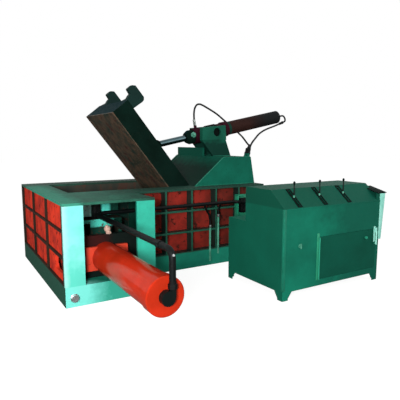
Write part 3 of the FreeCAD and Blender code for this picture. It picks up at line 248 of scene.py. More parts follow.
UP: Point = (0.0, 0.0, 1.0)
RIGHT: Point = (1.0, 0.0, 0.0)
LEFT: Point = (-1.0, 0.0, 0.0)
BACK: Point = (0.0, 1.0, 0.0)
FRONT: Point = (0.0, -1.0, 0.0)
LID_HINGE: Point = (1.28, 0.0, 0.8)
# Edges of tubes that turn less than this many degrees are shaded as round.
ROUND_SMOOTH = 50.0
# The lid cylinder's axis at rest, and the trunnion's distance along it.
TUBE_AXIS: Point = (0.97992, 0.0, 0.19937)
TRUNNION_AT = 2.3203
# Roughness of dusty paint and rubber, and the dark green of the painted shadow on the header and the
# side ram.
DULL: Span = (0.6, 0.8)
SHADOW_GREEN = "0C3A2F"

# Alkyd machine enamel, brushed and sprayed on plate: an even film, dull with oil and dust where
# scrap and hands pass.
# The left post's finish is painted light: a paler copy of the portal paint, paler still along its left
# edge. It turns darker towards the post's foot.
LIT_POST_ENAMEL = Finish(
    "lit_post_alkyd_enamel", "86E6DC", "68D6C6", "4FC4AC", mark_share=0.27, specular=0.3,
    layers=(Layer("5CD2BE", UP, 0.62, 0.3, ragged=0.12),
            Layer("B4ECE6", LEFT, 0.41, 0.46, strength=0.6, ragged=0.01)))
PORTAL_ENAMEL = Finish("portal_alkyd_enamel", "2FBBA0", "279F87", "1C7A66", mark_share=0.3)
# Base frame: its front face is painted lighter and its left end face darker, as painted light and
# shade; its front-left corner is painted pale like the lit post.
BASE_ENAMEL = Finish(
    "base_alkyd_enamel", "1F8A70", "187460", "1F7A66", mark_share=0.27, roughness=(0.5, 0.7),
    specular=0.12,
    layers=(Layer("319A84", BACK, -1.3885, -1.3895),
            Layer("76DED0", (-0.7071, -0.7071, 0.0), 1.0, 1.17, ragged=0.03),
            Layer("1D4A3B", LEFT, 0.4665, 0.4675)))
TOP_ENAMEL = Finish(
    "top_alkyd_enamel", "2F6B58", "245545", "16332A", drift_mm=240.0, roughness=DULL, specular=0.12,
    layers=(Layer("3FA085", LEFT, 0.22, 0.34, ragged=0.05, strength=0.6),
            Layer("1D3A30", RIGHT, 0.1, 0.55, ragged=0.15, strength=0.9),
            Layer("26382E", BACK, 0.3, 0.6, ragged=0.1, strength=0.8)))
BODY_ENAMEL = Finish("body_alkyd_enamel", "0F4436", "0B342A", "08261E", specular=0.25)
# Crossbeam: oxide red, with black-green painted shadow over its right part and its lower part.
BEAM_PAINT = Finish(
    "crossbeam_oxide_paint", "3A1614", "26110F", "160C0B", roughness=DULL, specular=0.06,
    layers=(Layer("0F1815", RIGHT, -0.06, 0.1, ragged=0.03),
            Layer("0B1714", UP, 0.4, 0.3, ragged=0.03)))
# Header: pale teal as painted light where the lamp reaches it, paler still on its left part, with
# painted shadow on its right part and along its top under the top plate.
HEADER_ENAMEL = Finish(
    "header_alkyd_enamel", "5CE4D0", "48CBB8", "1E7A68", drift_mm=120.0, specular=0.2,
    layers=(Layer("BCFFF4", LEFT, 0.02, 0.035),
            Layer(SHADOW_GREEN, RIGHT, 0.17, 0.2, ragged=0.01),
            Layer(SHADOW_GREEN, UP, 0.885, 0.9)))
# Near ribs: dark green as painted shade on their sides, with the faces that look to the front painted
# lighter as painted light.
RIB_ENAMEL = Finish(
    "rib_alkyd_enamel", "14302A", "0E2520", "3A2A1C", specular=0.25,
    layers=(Layer("24604C", FRONT, 0.9, 0.95, Reads.FACING, strength=0.7),))
# End and rear ribs: dark brown, a painted shadow along each rib.
END_RIB_ENAMEL = Finish(
    "end_rib_alkyd_enamel", "30241A", "201A14", "4A2318", roughness=(0.55, 0.75), specular=0.08)
# Stand: the deck and slope between the gussets are painted dark, a painted shadow of the lid.
STAND_ENAMEL = Finish(
    "stand_alkyd_enamel", "126652", "0F5846", "0B4335", roughness=DULL, specular=0.06,
    layers=(Layer("04241B", BACK, -0.6315, -0.6265, ragged=0.0004),
            Layer("0F5947", UP, 1.22, 1.36, strength=0.8, ragged=0.04),
            Layer("105B49", RIGHT, 2.329, 2.331)))
# Pillars: painted shade darkens them below the bearing blocks.
PILLAR_ENAMEL = Finish(
    "pillar_alkyd_enamel", "165C49", "114B3B", "0E3A2E", roughness=(0.55, 0.75), specular=0.08,
    layers=(Layer("0C352B", UP, 1.6, 1.53, ragged=0.03),))
# Lid: near black as painted shade, with its end face, which faces up and towards -X, painted lighter as
# painted light.
LID_SHADED_ENAMEL = Finish(
    "lid_shaded_alkyd_enamel", "0A1E18", "071611", "141E18", specular=0.02, roughness=DULL,
    layers=(Layer("08262A", (-0.62, 0.0, 0.785), 0.9, 0.97, Reads.FACING),))
HOOK_ENAMEL = Finish(
    "hook_alkyd_enamel", "0F2A26", "0C221F", "081815", roughness=(0.55, 0.75), specular=0.1)
# Cabinet: painted shade darkens its sloping top, its left-facing sides and its right part.
CABINET_ENAMEL = Finish(
    "cabinet_stoved_enamel", "13755D", "0F604C", "0B4E3D", drift_mm=600.0, mark_share=0.28,
    grain_mm=1.5, roughness=(0.55, 0.7), specular=0.08,
    layers=(Layer("0B4536", UP, 0.915, 0.925, strength=0.8),
            Layer("0B4636", LEFT, 0.9, 0.95, Reads.FACING, strength=0.6),
            Layer("0F5343", RIGHT, 1.9, 2.3, ragged=0.2, strength=0.75)))
DOOR_ENAMEL = Finish(
    "door_stoved_enamel", "0A5140", "084536", "083A2E", drift_mm=500.0, mark_share=0.28, grain_mm=1.5,
    roughness=(0.55, 0.7), specular=0.08,
    layers=(Layer("2A8F72", BACK, -2.316, -2.3165),
            Layer("A8EEDC", BACK, -2.3325, -2.333)))
SEAM_ENAMEL = Finish("seam_alkyd_enamel", "187A62", "146650", "0F4C3D", specular=0.2)
HINGE_ENAMEL = Finish("hinge_leaf_enamel", "27946F", "1F7F60", "17664E", specular=0.4)
PALE_EDGE = Finish("pale_rubbed_enamel", "A6EBDB", "7FD2BF", "4FA894", mark_share=0.3, mark_mm=16.0)
END_PANEL_ENAMEL = Finish(
    "end_panel_red_enamel", "E63E26", "A62C22", "6A201A", drift_mm=190.0, mark_mm=90.0, mark_share=0.37,
    roughness=DULL, specular=0.06)
# Near wall: painted shadow of the cabinet darkens it towards its right end, and painted shade darkens
# it left of 0.44 m inside the portal.
NEAR_PANEL_ENAMEL = Finish(
    "near_panel_red_enamel", "9E2C22", "6C211A", "3A1812", drift_mm=210.0, mark_mm=100.0,
    mark_share=0.39, roughness=(0.5, 0.7), specular=0.12,
    layers=(Layer("2E2019", RIGHT, 1.15, 2.0, strength=0.7, ragged=0.15),
            Layer("08241D", LEFT, -0.45, -0.44)))
# Lugs and their welds: a brighter copy of the cylinder red, painted light.
LIT_LUG_ENAMEL = Finish("lug_lit_red_enamel", "D4452E", "BC3824", "9A3020", specular=0.15)
CYLINDER_ENAMEL = Finish(
    "cylinder_gloss_red_enamel", "BC2C16", "A02610", "7C2015", mark_share=0.25, roughness=(0.1, 0.17),
    specular=0.08,
    layers=(Layer("0E1514", BACK, -2.5705, -2.5712),
            Layer("0E1514", RIGHT, 3.6525, 3.6532)))
MAROON_ENAMEL = Finish(
    "lid_cylinder_maroon_enamel", "34201C", "261614", "1C1211", mark_share=0.3, roughness=(0.5, 0.7),
    specular=0.04,
    layers=(Layer("1E2021", TUBE_AXIS, TRUNNION_AT + 0.65, TRUNNION_AT + 1.0),
            Layer("173A30", TUBE_AXIS, TRUNNION_AT + 0.321, TRUNNION_AT + 0.319),
            Layer("300E1A", TUBE_AXIS, TRUNNION_AT + 0.271, TRUNNION_AT + 0.269)))
# Black grease that has caked on the bearing.
GREASE = Finish("caked_grease", "07110E", "050B09", "0C1714", roughness=DULL, specular=0.05)
# Hot-rolled wear plate, polished and rusted by turns as scrap slides over it.
WEAR_PLATE = Finish(
    "rusted_wear_plate", "3E3A30", "28302A", "48342A", drift_mm=180.0, mark_mm=120.0, mark_share=0.42,
    stretch=(1.0, 1.0, 0.45), grain_mm=6.0, grain_depth=0.25, roughness=(0.5, 0.8), specular=0.25)
# The same plate on the side ram. Its back face is dark green, with pale teal painted light over its
# upper part and painted shadow to the right and below, like the header above it.
RAM_PLATE = Finish(
    "painted_ram_plate", "38382E", "262E28", "4E3426", drift_mm=180.0, mark_mm=46.0, mark_share=0.36,
    grain_mm=6.0, grain_depth=0.2, roughness=DULL, specular=0.1,
    layers=(Layer("0E2A22", BACK, -0.9385, -0.9395),
            Layer("4CC8B4", UP, 0.655, 0.675, ragged=0.004),
            Layer(SHADOW_GREEN, RIGHT, 0.17, 0.2, ragged=0.01),
            Layer(SHADOW_GREEN, UP, 0.655, 0.645),
            Layer("34342B", BACK, -0.9385, -0.9375)))
LID_WEAR_PLATE = Finish(
    "lid_rusted_wear_plate", "544030", "16281F", "3A1E16", drift_mm=110.0, mark_mm=150.0,
    mark_share=0.39, grain_mm=6.0, grain_depth=0.25, roughness=(0.5, 0.8), specular=0.25)
# Hard chrome on ground bar: mirror-like, with faint rings of oil; its base is darkened as a painted
# dark reflection.
ROD_CHROME = Finish(
    "hard_chrome_rod", "52686C", "3E5054", "2E3A3C", mark_share=0.28, roughness=(0.16, 0.26),
    metallic=1.0, grain_depth=0.02)
PIN_STEEL = Finish(
    "turned_pin_steel", "9A9C9E", "7B7C7E", "5B5048", mark_share=0.32, roughness=(0.28, 0.45),
    metallic=1.0)
# Zinc-plated fasteners and fittings: pale grey with a faint warm cast.
ZINC = Finish(
    "zinc_plated_steel", "8E9490", "747A78", "54504A", mark_mm=9.0, roughness=(0.3, 0.5),
    metallic=1.0)
# Turned steel, wiped bright.
BRIGHT_STEEL = Finish(
    "bright_turned_steel", "DADDDD", "B9BDBE", "7C8080", mark_mm=12.0, mark_share=0.3,
    roughness=(0.25, 0.42), metallic=1.0)
# Cast brass, chalky with age.
PALE_BRASS = Finish(
    "chalky_cast_brass", "D9B8A6", "B08E80", "8A6A5E", mark_mm=10.0, mark_share=0.36,
    roughness=(0.4, 0.6))
# Black pipe enamel over drawn steel tube.
PIPE_ENAMEL = Finish(
    "pipe_black_enamel", "080C0C", "060909", "14211E", roughness=(0.42, 0.6), specular=0.12)
RISER_ENAMEL = Finish(
    "riser_rubbed_enamel", "5CA88E", "3C7E68", "2A5C4C", drift_mm=120.0, specular=0.2)
# Nitrile rubber frame and knobs, moulded matt.
GASKET = Finish("moulded_nitrile_rubber", "0A1A16", "07120F", "12241F", roughness=DULL, specular=0.05)
# Nitrile rubber cover over wire braid: matt, with a wrapped texture.
HOSE_RUBBER = Finish(
    "hose_nitrile_rubber", "0E1313", "0A0E0E", "191D1D", grain_mm=2.0, grain_depth=0.3,
    roughness=(0.5, 0.68), specular=0.15)
CASTING_PAINT = Finish(
    "grey_painted_casting", "6A7072", "4E5456", "2E3233", grain_mm=4.0, grain_depth=0.3,
    roughness=(0.45, 0.6))

DRESS: dict[Finish, str] = {
    LIT_POST_ENAMEL: "left_post",
    PORTAL_ENAMEL: "right_post",
    BASE_ENAMEL: "base_frame",
    TOP_ENAMEL: "top_plate",
    BODY_ENAMEL: "main_bulkhead side_box_wall hinge_lugs",
    BEAM_PAINT: "side_crossbeam",
    HEADER_ENAMEL: "side_header",
    RIB_ENAMEL: "near_ribs",
    RISER_ENAMEL: "riser_pipes",
    END_RIB_ENAMEL: "end_ribs rear_ribs",
    STAND_ENAMEL: "stand",
    PILLAR_ENAMEL: "near_pillar far_pillar",
    LID_SHADED_ENAMEL: "lid_box lid_arms lid_ears lid_cylinder_gland",
    HOOK_ENAMEL: "lid_hooks",
    CABINET_ENAMEL: "unit_cabinet unit_feet oil_tank",
    DOOR_ENAMEL: "unit_door",
    END_PANEL_ENAMEL: "end_wall rear_wall",
    NEAR_PANEL_ENAMEL: "near_wall",
    CYLINDER_ENAMEL: "side_cylinder_tube side_cylinder_gland side_flange main_cylinder_tube "
                     "main_cylinder_gland main_flange",
    MAROON_ENAMEL: "lid_cylinder_tube",
    GREASE: "lid_trunnion",
    WEAR_PLATE: "floor_liner end_liner side_liners main_ram",
    RAM_PLATE: "side_ram",
    LID_WEAR_PLATE: "lid_liner",
    ROD_CHROME: "side_cylinder_rod main_cylinder_rod lid_rod",
    PIN_STEEL: "hinge_pin rod_pin_ends rod_eye_pin",
    PIPE_ENAMEL: "wall_pipe lever_1 lever_2 lever_3",
    CASTING_PAINT: "motor pump valve_bank drive_coupling",
}


def dress_nodes() -> None:
    """Give every carried-over part of the machine its finish."""
    for finish, names in DRESS.items():
        for name in names.split():
            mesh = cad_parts[name].data
            mesh.materials.clear()
            mesh.materials.append(finish.build())
            log.info("%s: %s", name, finish.name)


# Modelling helpers.
class Body(Enum):
    """The moving parts that pieces ride on."""

    PRESS = "press_frame"
    LID = "lid"
    CYLINDER = "lid_cylinder"
    DOOR = "unit_door"
    LEVER_1 = "lever_1"
    LEVER_2 = "lever_2"
    LEVER_3 = "lever_3"


def pick_only(*objects: Piece) -> None:
    """Select these objects alone and make the last one active."""
    bpy.ops.object.select_all(action="DESELECT")
    for obj in objects:
        obj.select_set(True)
        bpy.context.view_layer.objects.active = obj


@contextmanager
def editing(piece: Piece) -> Iterator[None]:
    """Hold a piece open in edit mode, with its whole mesh selected at first."""
    pick_only(piece)
    bpy.ops.object.mode_set(mode="EDIT")
    bpy.ops.mesh.select_all(action="SELECT")
    yield
    bpy.ops.object.mode_set(mode="OBJECT")


def settle(piece: Piece) -> Piece:
    """Apply a piece's place, turn and size to its mesh."""
    pick_only(piece)
    bpy.ops.object.transform_apply(location=True, rotation=True, scale=True)
    return piece


def added(primitive: Callable[..., Any], **options: Any) -> Piece:
    """Add a primitive while nothing else is selected."""
    bpy.ops.object.select_all(action="DESELECT")
    primitive(**options)
    return bpy.context.object


def discard(piece: Piece) -> None:
    """Delete a piece that has served its turn."""
    pick_only(piece)
    bpy.ops.object.delete()


def lathed(steps: Profile, sides: int = 28) -> Piece:
    """Raise a round piece from the ground up, one extrusion a step.

    Args:
        steps: Height and radius of each edge, from the foot.
        sides: Faces round it; six for a hexagon.

    Returns:
        The closed piece, standing on its first height.
    """
    height, radius = steps[0]
    piece = added(bpy.ops.mesh.primitive_circle_add, vertices=sides, radius=radius, fill_type="NGON",
                  location=(0.0, 0.0, height))
    with editing(piece):
        for next_height, next_radius in steps[1:]:
            bpy.ops.mesh.extrude_region_move(
                TRANSFORM_OT_translate={"value": (0.0, 0.0, next_height - height)})
            share = next_radius / radius
            bpy.ops.transform.resize(value=(share, share, 1.0), center_override=(0.0, 0.0, next_height))
            height, radius = next_height, next_radius
        bpy.ops.mesh.select_all(action="SELECT")
        bpy.ops.mesh.normals_make_consistent(inside=False)
    return settle(piece)


def block(x: Span, y: Span, z: Span, edge: float = 0.003,
          base: Point = (0.0, 0.0, 0.0)) -> Piece:
    """A block with its edges rounded.

    Args:
        x: Where it starts and ends along X.
        y: Where it starts and ends along Y.
        z: Where it starts and ends along Z.
        edge: Width of the rounded edges.
        base: The point that all three are counted from.

    Returns:
        The block, its place in its mesh.
    """
    low, high = (Vector(corner) + Vector(base) for corner in zip(x, y, z))
    piece = added(bpy.ops.mesh.primitive_cube_add, size=1.0, location=(low + high) / 2)
    piece.scale = high - low
    settle(piece)
    with editing(piece):
        bpy.ops.mesh.bevel(offset=edge, segments=2)
    return piece


def drag(piece: Piece, chosen: Callable[[Vector], bool], by: Point) -> None:
    """Move the corners of a piece that a test picks.

    Args:
        piece: The piece.
        chosen: Says of a corner's place whether it moves.
        by: How far it moves.
    """
    with editing(piece):
        bpy.ops.mesh.select_mode(type="VERT")
        bpy.ops.mesh.select_all(action="DESELECT")
    for vertex in piece.data.vertices:
        vertex.select = chosen(vertex.co)
    bpy.ops.object.mode_set(mode="EDIT")
    bpy.ops.transform.translate(value=by)
    bpy.ops.object.mode_set(mode="OBJECT")


def stand_on(piece: Piece, foot: Point, direction: Point) -> Piece:
    """Put a piece modelled along +Z on a foot point, facing a direction, for good."""
    piece.rotation_euler = Vector(direction).to_track_quat("Z", "Y").to_euler()
    piece.location = foot
    return settle(piece)


def copies(master: Piece, feet: Sequence[Point], direction: Point) -> list[Piece]:
    """Copy a piece modelled along +Z to several feet, each with its own mesh.

    Args:
        master: The piece; it is used up.
        feet: Where the copies stand.
        direction: Where they all face.

    Returns:
        The copies.
    """
    made = []
    for foot in feet:
        pick_only(master)
        bpy.ops.object.duplicate(linked=False)
        made.append(stand_on(bpy.context.object, foot, direction))
    discard(master)
    return made


def joined(pieces: Sequence[Piece]) -> Piece:
    """Join several pieces into one."""
    pick_only(*pieces)
    if len(pieces) > 1:
        bpy.ops.object.join()
    return bpy.context.object


def hand_over(piece: Piece, name: str, finish: Finish,
              body: Body = Body.PRESS, smooth: float = 35.0) -> Piece:
    """Name a finished piece, settle its place, shade and dress it, and let it ride.

    Args:
        piece: The piece.
        name: Its name.
        finish: Its finish.
        body: The body it moves with.
        smooth: Edges sharper than this many degrees stay sharp.

    Returns:
        The same piece.
    """
    piece.name = name
    settle(piece)
    bpy.ops.object.shade_smooth_by_angle(angle=math.radians(smooth))
    piece.data.materials.clear()
    piece.data.materials.append(finish.build())
    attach(piece, body.value)
    log.info("%s: %d faces, %s", name, len(piece.data.polygons), finish.name)
    return piece


def bolt(across: float) -> Piece:
    """A hexagon bolt head on its washer, modelled along +Z.

    Args:
        across: Width across the head's flats, in metres.

    Returns:
        The bolt.
    """
    corner = across / 2 / math.cos(math.radians(30))
    washer = lathed([(0.0, across * 0.92), (across * 0.08, across * 0.92),
                     (across * 0.1, across * 0.88)], 24)
    head = lathed([(across * 0.1, corner), (across * 0.62, corner), (across * 0.7, corner * 0.9),
                   (across * 0.7, corner * 0.45), (across * 0.67, corner * 0.4)], 6)
    return joined([washer, head])


def turned(name: str, finish: Finish, steps: Profile, sides: int, seats: Sequence[Point],
           facing: Point, body: Body = Body.PRESS) -> Piece:
    """Turn a steel fitting and stand it on its seats, all as one piece."""
    made = copies(lathed(steps, sides), seats, facing)
    return hand_over(joined(made), name, finish, body)


def nurbs_line(name: str, route: Sequence[Point]) -> Piece:
    """A smooth open spline with these control points, as a bare curve."""
    data = bpy.data.curves.new(name, "CURVE")
    data.dimensions = "3D"
    data.resolution_u = 16
    spline = data.splines.new("NURBS")
    spline.points.add(len(route) - 1)
    for point, place in zip(spline.points, route):
        point.co = (*place, 1.0)
    spline.order_u = 3
    spline.use_endpoint_u = True
    line = bpy.data.objects.new(name, data)
    bpy.context.scene.collection.objects.link(line)
    return line


def swept_tube(line: Piece, radius: float) -> Piece:
    """Give a curve a round section with capped ends and make it a closed mesh.

    Args:
        line: The curve; it becomes the tube.
        radius: The tube's radius.

    Returns:
        The tube.
    """
    line.data.bevel_depth = radius
    line.data.bevel_resolution = 6
    line.data.use_fill_caps = True
    pick_only(line)
    bpy.ops.object.convert(target="MESH")
    tube = bpy.context.object
    with editing(tube):
        bpy.ops.mesh.remove_doubles(threshold=0.00005)
        bpy.ops.mesh.normals_make_consistent(inside=False)
    return tube


def black_pipe(name: str, route: Sequence[Point], radius: float) -> Piece:
    """Lay an enamelled pipe of the press along a route."""
    return hand_over(swept_tube(nurbs_line(name, route), radius), name, PIPE_ENAMEL,
                     smooth=ROUND_SMOOTH)


def bead(start: Point, end: Point, width: float = 0.012) -> Piece:
    """A weld bead: a row of low overlapping ripples from one point to another.

    Args:
        start: Where it starts.
        end: Where it ends.
        width: Its width in metres.

    Returns:
        The bead.
    """
    run = Vector(end) - Vector(start)
    pitch = width * 0.7
    ripple = added(bpy.ops.mesh.primitive_uv_sphere_add, segments=8, ring_count=4, radius=width / 2)
    with editing(ripple):
        bpy.ops.transform.resize(value=(1.0, 1.0, 1.15), center_override=(0.0, 0.0, 0.0))
    row = ripple.modifiers.new("row", "ARRAY")
    row.use_relative_offset = False
    row.use_constant_offset = True
    row.constant_offset_displace = (0.0, 0.0, pitch)
    row.count = max(2, int(run.length / pitch))
    bpy.ops.object.modifier_apply(modifier=row.name)
    return stand_on(ripple, start, run)


def bead_along(run: Span, y: float, z: float, width: float = 0.012) -> Piece:
    """A weld bead that runs along X."""
    return bead((run[0], y, z), (run[1], y, z), width)


# Camera and pieces.
@dataclass
class PhotographerView:
    """The camera, where the photographer stood."""

    place: Point = (-1.4164, -5.4353, 1.5731)
    tilt: float = 82.315
    heading: float = -30.961
    lens_mm: float = 39.28

    def build(self) -> None:
        """Make the camera and set it as the scene's."""
        data = bpy.data.cameras.new("view")
        data.lens = self.lens_mm
        data.sensor_width = 36.0
        data.clip_end = 200.0
        camera = bpy.data.objects.new("view", data)
        camera.location = self.place
        camera.rotation_euler = (math.radians(self.tilt), 0.0, math.radians(self.heading))
        bpy.context.scene.collection.objects.link(camera)
        bpy.context.scene.camera = camera


@dataclass
class HoseEnd:
    """Crimped ferrule, hexagon nut and stem on one end of a hose."""

    name: str
    seat: Point
    toward: Point
    body: Body
    finish: Finish = PIPE_ENAMEL
    nut: Profile = ((-0.004, 0.021), (0.0, 0.0235), (0.026, 0.0235), (0.03, 0.021))
    ferrule: Profile = (
        (0.028, 0.016), (0.034, 0.0195), (0.044, 0.0195), (0.046, 0.0175), (0.052, 0.0175),
        (0.054, 0.0195), (0.064, 0.0195), (0.066, 0.0175), (0.072, 0.0175), (0.074, 0.0195),
        (0.086, 0.0195), (0.09, 0.0138))

    def build(self) -> Piece:
        """Model the fitting along the hose, from its seat outwards."""
        piece = joined([lathed(self.nut, 6), lathed(self.ferrule)])
        stand_on(piece, self.seat, Vector(self.toward) - Vector(self.seat))
        return hand_over(piece, self.name, self.finish, self.body)


@dataclass
class Hose:
    """One hydraulic hose from the lid cylinder to the stand."""

    name: str
    node: str
    route: Sequence[Point]
    length: float
    cylinder_end: Finish = PIPE_ENAMEL
    diameter: float = 0.026

    def build(self) -> None:
        """Lay the hose along its route as one smooth spline."""
        ends = [
            HoseEnd(f"{self.name}_cylinder_fitting", self.route[0], self.route[1], Body.CYLINDER,
                    self.cylinder_end).build(),
            HoseEnd(f"{self.name}_stand_fitting", self.route[-1], self.route[-2], Body.PRESS).build(),
        ]
        curve = nurbs_line(self.name, self.route)
        centre = bpy.data.meshes.new_from_object(curve)
        bpy.data.meshes.remove(centre)
        hose = swept_tube(curve, self.diameter / 2)
        hose.name = self.name
        bpy.ops.object.shade_smooth_by_angle(angle=math.radians(ROUND_SMOOTH))
        hose.data.materials.append(HOSE_RUBBER.build())
        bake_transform(hose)
        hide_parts(self.node)
        log.info("%s laid", self.name)


@dataclass
class TailLine:
    """Thick black pipe from the manifold to the side cylinder's end, with its fittings."""

    radius: float = 0.027
    hub: Point = (0.045, -2.5975, 0.452)
    elbow: Point = (0.045, -2.5975, 0.764)
    entry: Point = (0.012, -0.914, 0.788)
    bend: float = 0.16
    hub_gap: float = 0.01
    union_past_bend: float = 0.03
    union: Profile = (
        (0.0, 0.034), (0.004, 0.0375), (0.04, 0.0375), (0.044, 0.034), (0.044, 0.029), (0.06, 0.029),
        (0.062, 0.0272))
    vent_seat: Point = (0.046, -2.6105, 0.727)
    vent: Profile = ((-0.008, 0.011), (0.007, 0.011), (0.009, 0.009))
    block_x: Span = (-0.028, 0.05)
    block_y: Span = (-0.914, -0.83)
    block_z: Span = (0.722, 0.905)
    plug: Profile = ((0.0, 0.013), (0.008, 0.013), (0.01, 0.011))
    plug_heights: tuple[float, ...] = (0.842, 0.88)

    def build(self) -> None:
        """Lay the pipe and fit its unions, its vent and the manifold block."""
        hub, elbow, entry = Vector(self.hub), Vector(self.elbow), Vector(self.entry)
        up, away = (elbow - hub).normalized(), (entry - elbow).normalized()
        route = [hub, elbow - up * self.bend, elbow, elbow + away * self.bend, entry]
        line = black_pipe("tail_line", route, self.radius)
        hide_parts("tail_pipe")
        along = self.bend + self.union_past_bend
        seats = ((hub + up * self.hub_gap, up), (elbow + away * along, away), (entry, -away))
        unions = [stand_on(lathed(self.union, 6), seat, way) for seat, way in seats]
        hand_over(joined(unions), "tail_line_unions", PIPE_ENAMEL)
        turned("tail_line_vent", BRIGHT_STEEL, self.vent, 6, [self.vent_seat], (0.0, -1.0, 0.25))
        body = block(self.block_x, self.block_y, self.block_z, 0.006)
        seats = [(sum(self.block_x) / 2, self.block_y[0], z) for z in self.plug_heights]
        plugs = copies(lathed(self.plug, 6), seats, FRONT)
        body = hand_over(joined([body, *plugs]), "manifold_block", PIPE_ENAMEL)
        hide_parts("side_manifold")


@dataclass
class CylinderLugs:
    """Pair of low lugs that hold the side cylinder on its crossbeam."""

    heights: Span = (0.28, 0.524)
    axis_z: float = 0.4
    bore: float = 0.1553
    bead_width: float = 0.008
    bead_inset: float = 0.01

    def build(self) -> None:
        """Cut the lugs from one bar with the tube's bore, and weld them on."""
        low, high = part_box("side_flange")
        bar = block((low.x, high.x), (low.y, high.y), self.heights, 0.005)
        thick = high.y - low.y
        cutter = added(bpy.ops.mesh.primitive_cylinder_add, vertices=96, radius=self.bore,
                       depth=4 * thick, location=(0.0, high.y - thick / 2, self.axis_z),
                       rotation=(math.pi / 2, 0.0, 0.0))
        pick_only(bar)
        hole = bar.modifiers.new("bore", "BOOLEAN")
        hole.operation = "DIFFERENCE"
        hole.object = cutter
        bpy.ops.object.modifier_apply(modifier=hole.name)
        discard(cutter)
        lugs = hand_over(bar, "side_cylinder_lugs", LIT_LUG_ENAMEL)
        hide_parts("side_flange")
        face, half = low.y - 0.002, self.bead_width / 2
        start, end = self.heights[0] + self.bead_inset, self.heights[1] - self.bead_inset
        beads = [bead((x, face, start), (x, face, end), self.bead_width)
                 for x in (low.x + half, high.x - half)]
        hand_over(joined(beads), "side_lug_welds", LIT_LUG_ENAMEL)


@dataclass
class Fittings:
    """Bolts, bosses and small hydraulic fittings on the frame and the lid cylinder."""

    bolt_across: float = 0.046
    bolt_aside: float = 0.185
    bolt_heights: Span = (0.237, 0.563)
    boss_at: Span = (-0.384, 0.09)
    boss: Profile = (
        (0.0, 0.041), (0.006, 0.041), (0.008, 0.037), (0.03, 0.037), (0.035, 0.033), (0.035, 0.022),
        (0.029, 0.018), (0.029, 0.01), (0.036, 0.007))
    cock_at: Span = (0.045, -1.172)
    cock_lean: Point = (-0.3, -0.1, 1.0)
    cock_foot: Profile = ((0.0, 0.027), (0.003, 0.03), (0.02, 0.03), (0.023, 0.027))
    cock: Profile = (
        (0.022, 0.02), (0.036, 0.02), (0.04, 0.03), (0.062, 0.034), (0.072, 0.03), (0.078, 0.018),
        (0.09, 0.016), (0.094, 0.011))
    plug_seat: Point = (1.676, -0.093, 1.656)
    plug: Profile = (
        (-0.006, 0.036), (0.004, 0.042), (0.022, 0.042), (0.028, 0.036), (0.028, 0.024), (0.046, 0.024),
        (0.05, 0.018))
    pin_cap: Profile = (
        (0.0, 0.028), (0.004, 0.03), (0.008, 0.03), (0.01, 0.028), (0.01, 0.012), (0.016, 0.011))
    riser_cap: Profile = (
        (0.0, 0.018), (0.004, 0.0205), (0.03, 0.0205), (0.034, 0.016), (0.034, 0.01), (0.044, 0.009))
    riser_tops: tuple[Point, ...] = ((1.488, -0.8433, 0.49), (1.61, -0.8433, 0.616))
    left_link: tuple[Point, ...] = ((1.488, -0.8433, 0.52), (1.488, -0.8433, 0.64),
                                    (1.43, -0.856, 0.7), (1.385, -0.87, 0.79))
    right_link: tuple[Point, ...] = ((1.61, -0.8433, 0.65), (1.61, -0.8433, 0.71),
                                     (1.622, -0.862, 0.75), (1.622, -0.875, 0.79))
    link_radius: float = 0.0125

    def build(self) -> None:
        """Set every fitting in its place."""
        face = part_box("main_flange")[1].x
        feet = [(face, side * self.bolt_aside, z) for side in (-1, 1) for z in self.bolt_heights]
        bolts = joined(copies(bolt(self.bolt_across), feet, RIGHT))
        hand_over(bolts, "main_flange_bolts", ZINC)
        seat = (self.boss_at[0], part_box("base_frame")[0].y, self.boss_at[1])
        turned("portal_boss", BRIGHT_STEEL, self.boss, 36, [seat], FRONT)
        self.set_gauge_cock()
        turned("gland_plug", RISER_ENAMEL, self.plug, 6, [self.plug_seat], (0.0, -1.0, 0.25),
               Body.CYLINDER)
        self.cap_hinge_pin()
        turned("riser_caps", ZINC, self.riser_cap, 6, self.riser_tops, UP)
        black_pipe("riser_link_left", self.left_link, self.link_radius)
        black_pipe("riser_link_right", self.right_link, self.link_radius)

    def set_gauge_cock(self) -> None:
        """Pale gauge cock that leans from the crossbeam's top over the cylinder."""
        foot = (*self.cock_at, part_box("side_crossbeam")[1].z)
        cock = joined([lathed(self.cock_foot, 6), lathed(self.cock)])
        hand_over(stand_on(cock, foot, self.cock_lean), "gauge_cock", PALE_BRASS)

    def cap_hinge_pin(self) -> None:
        """Retaining plates over both ends of the lid's hinge pin."""
        low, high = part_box("hinge_pin")
        caps = [stand_on(lathed(self.pin_cap), (LID_HINGE[0], y, LID_HINGE[2]), way)
                for y, way in ((low.y, FRONT), (high.y, BACK))]
        hand_over(joined(caps), "hinge_pin_caps", PIN_STEEL)


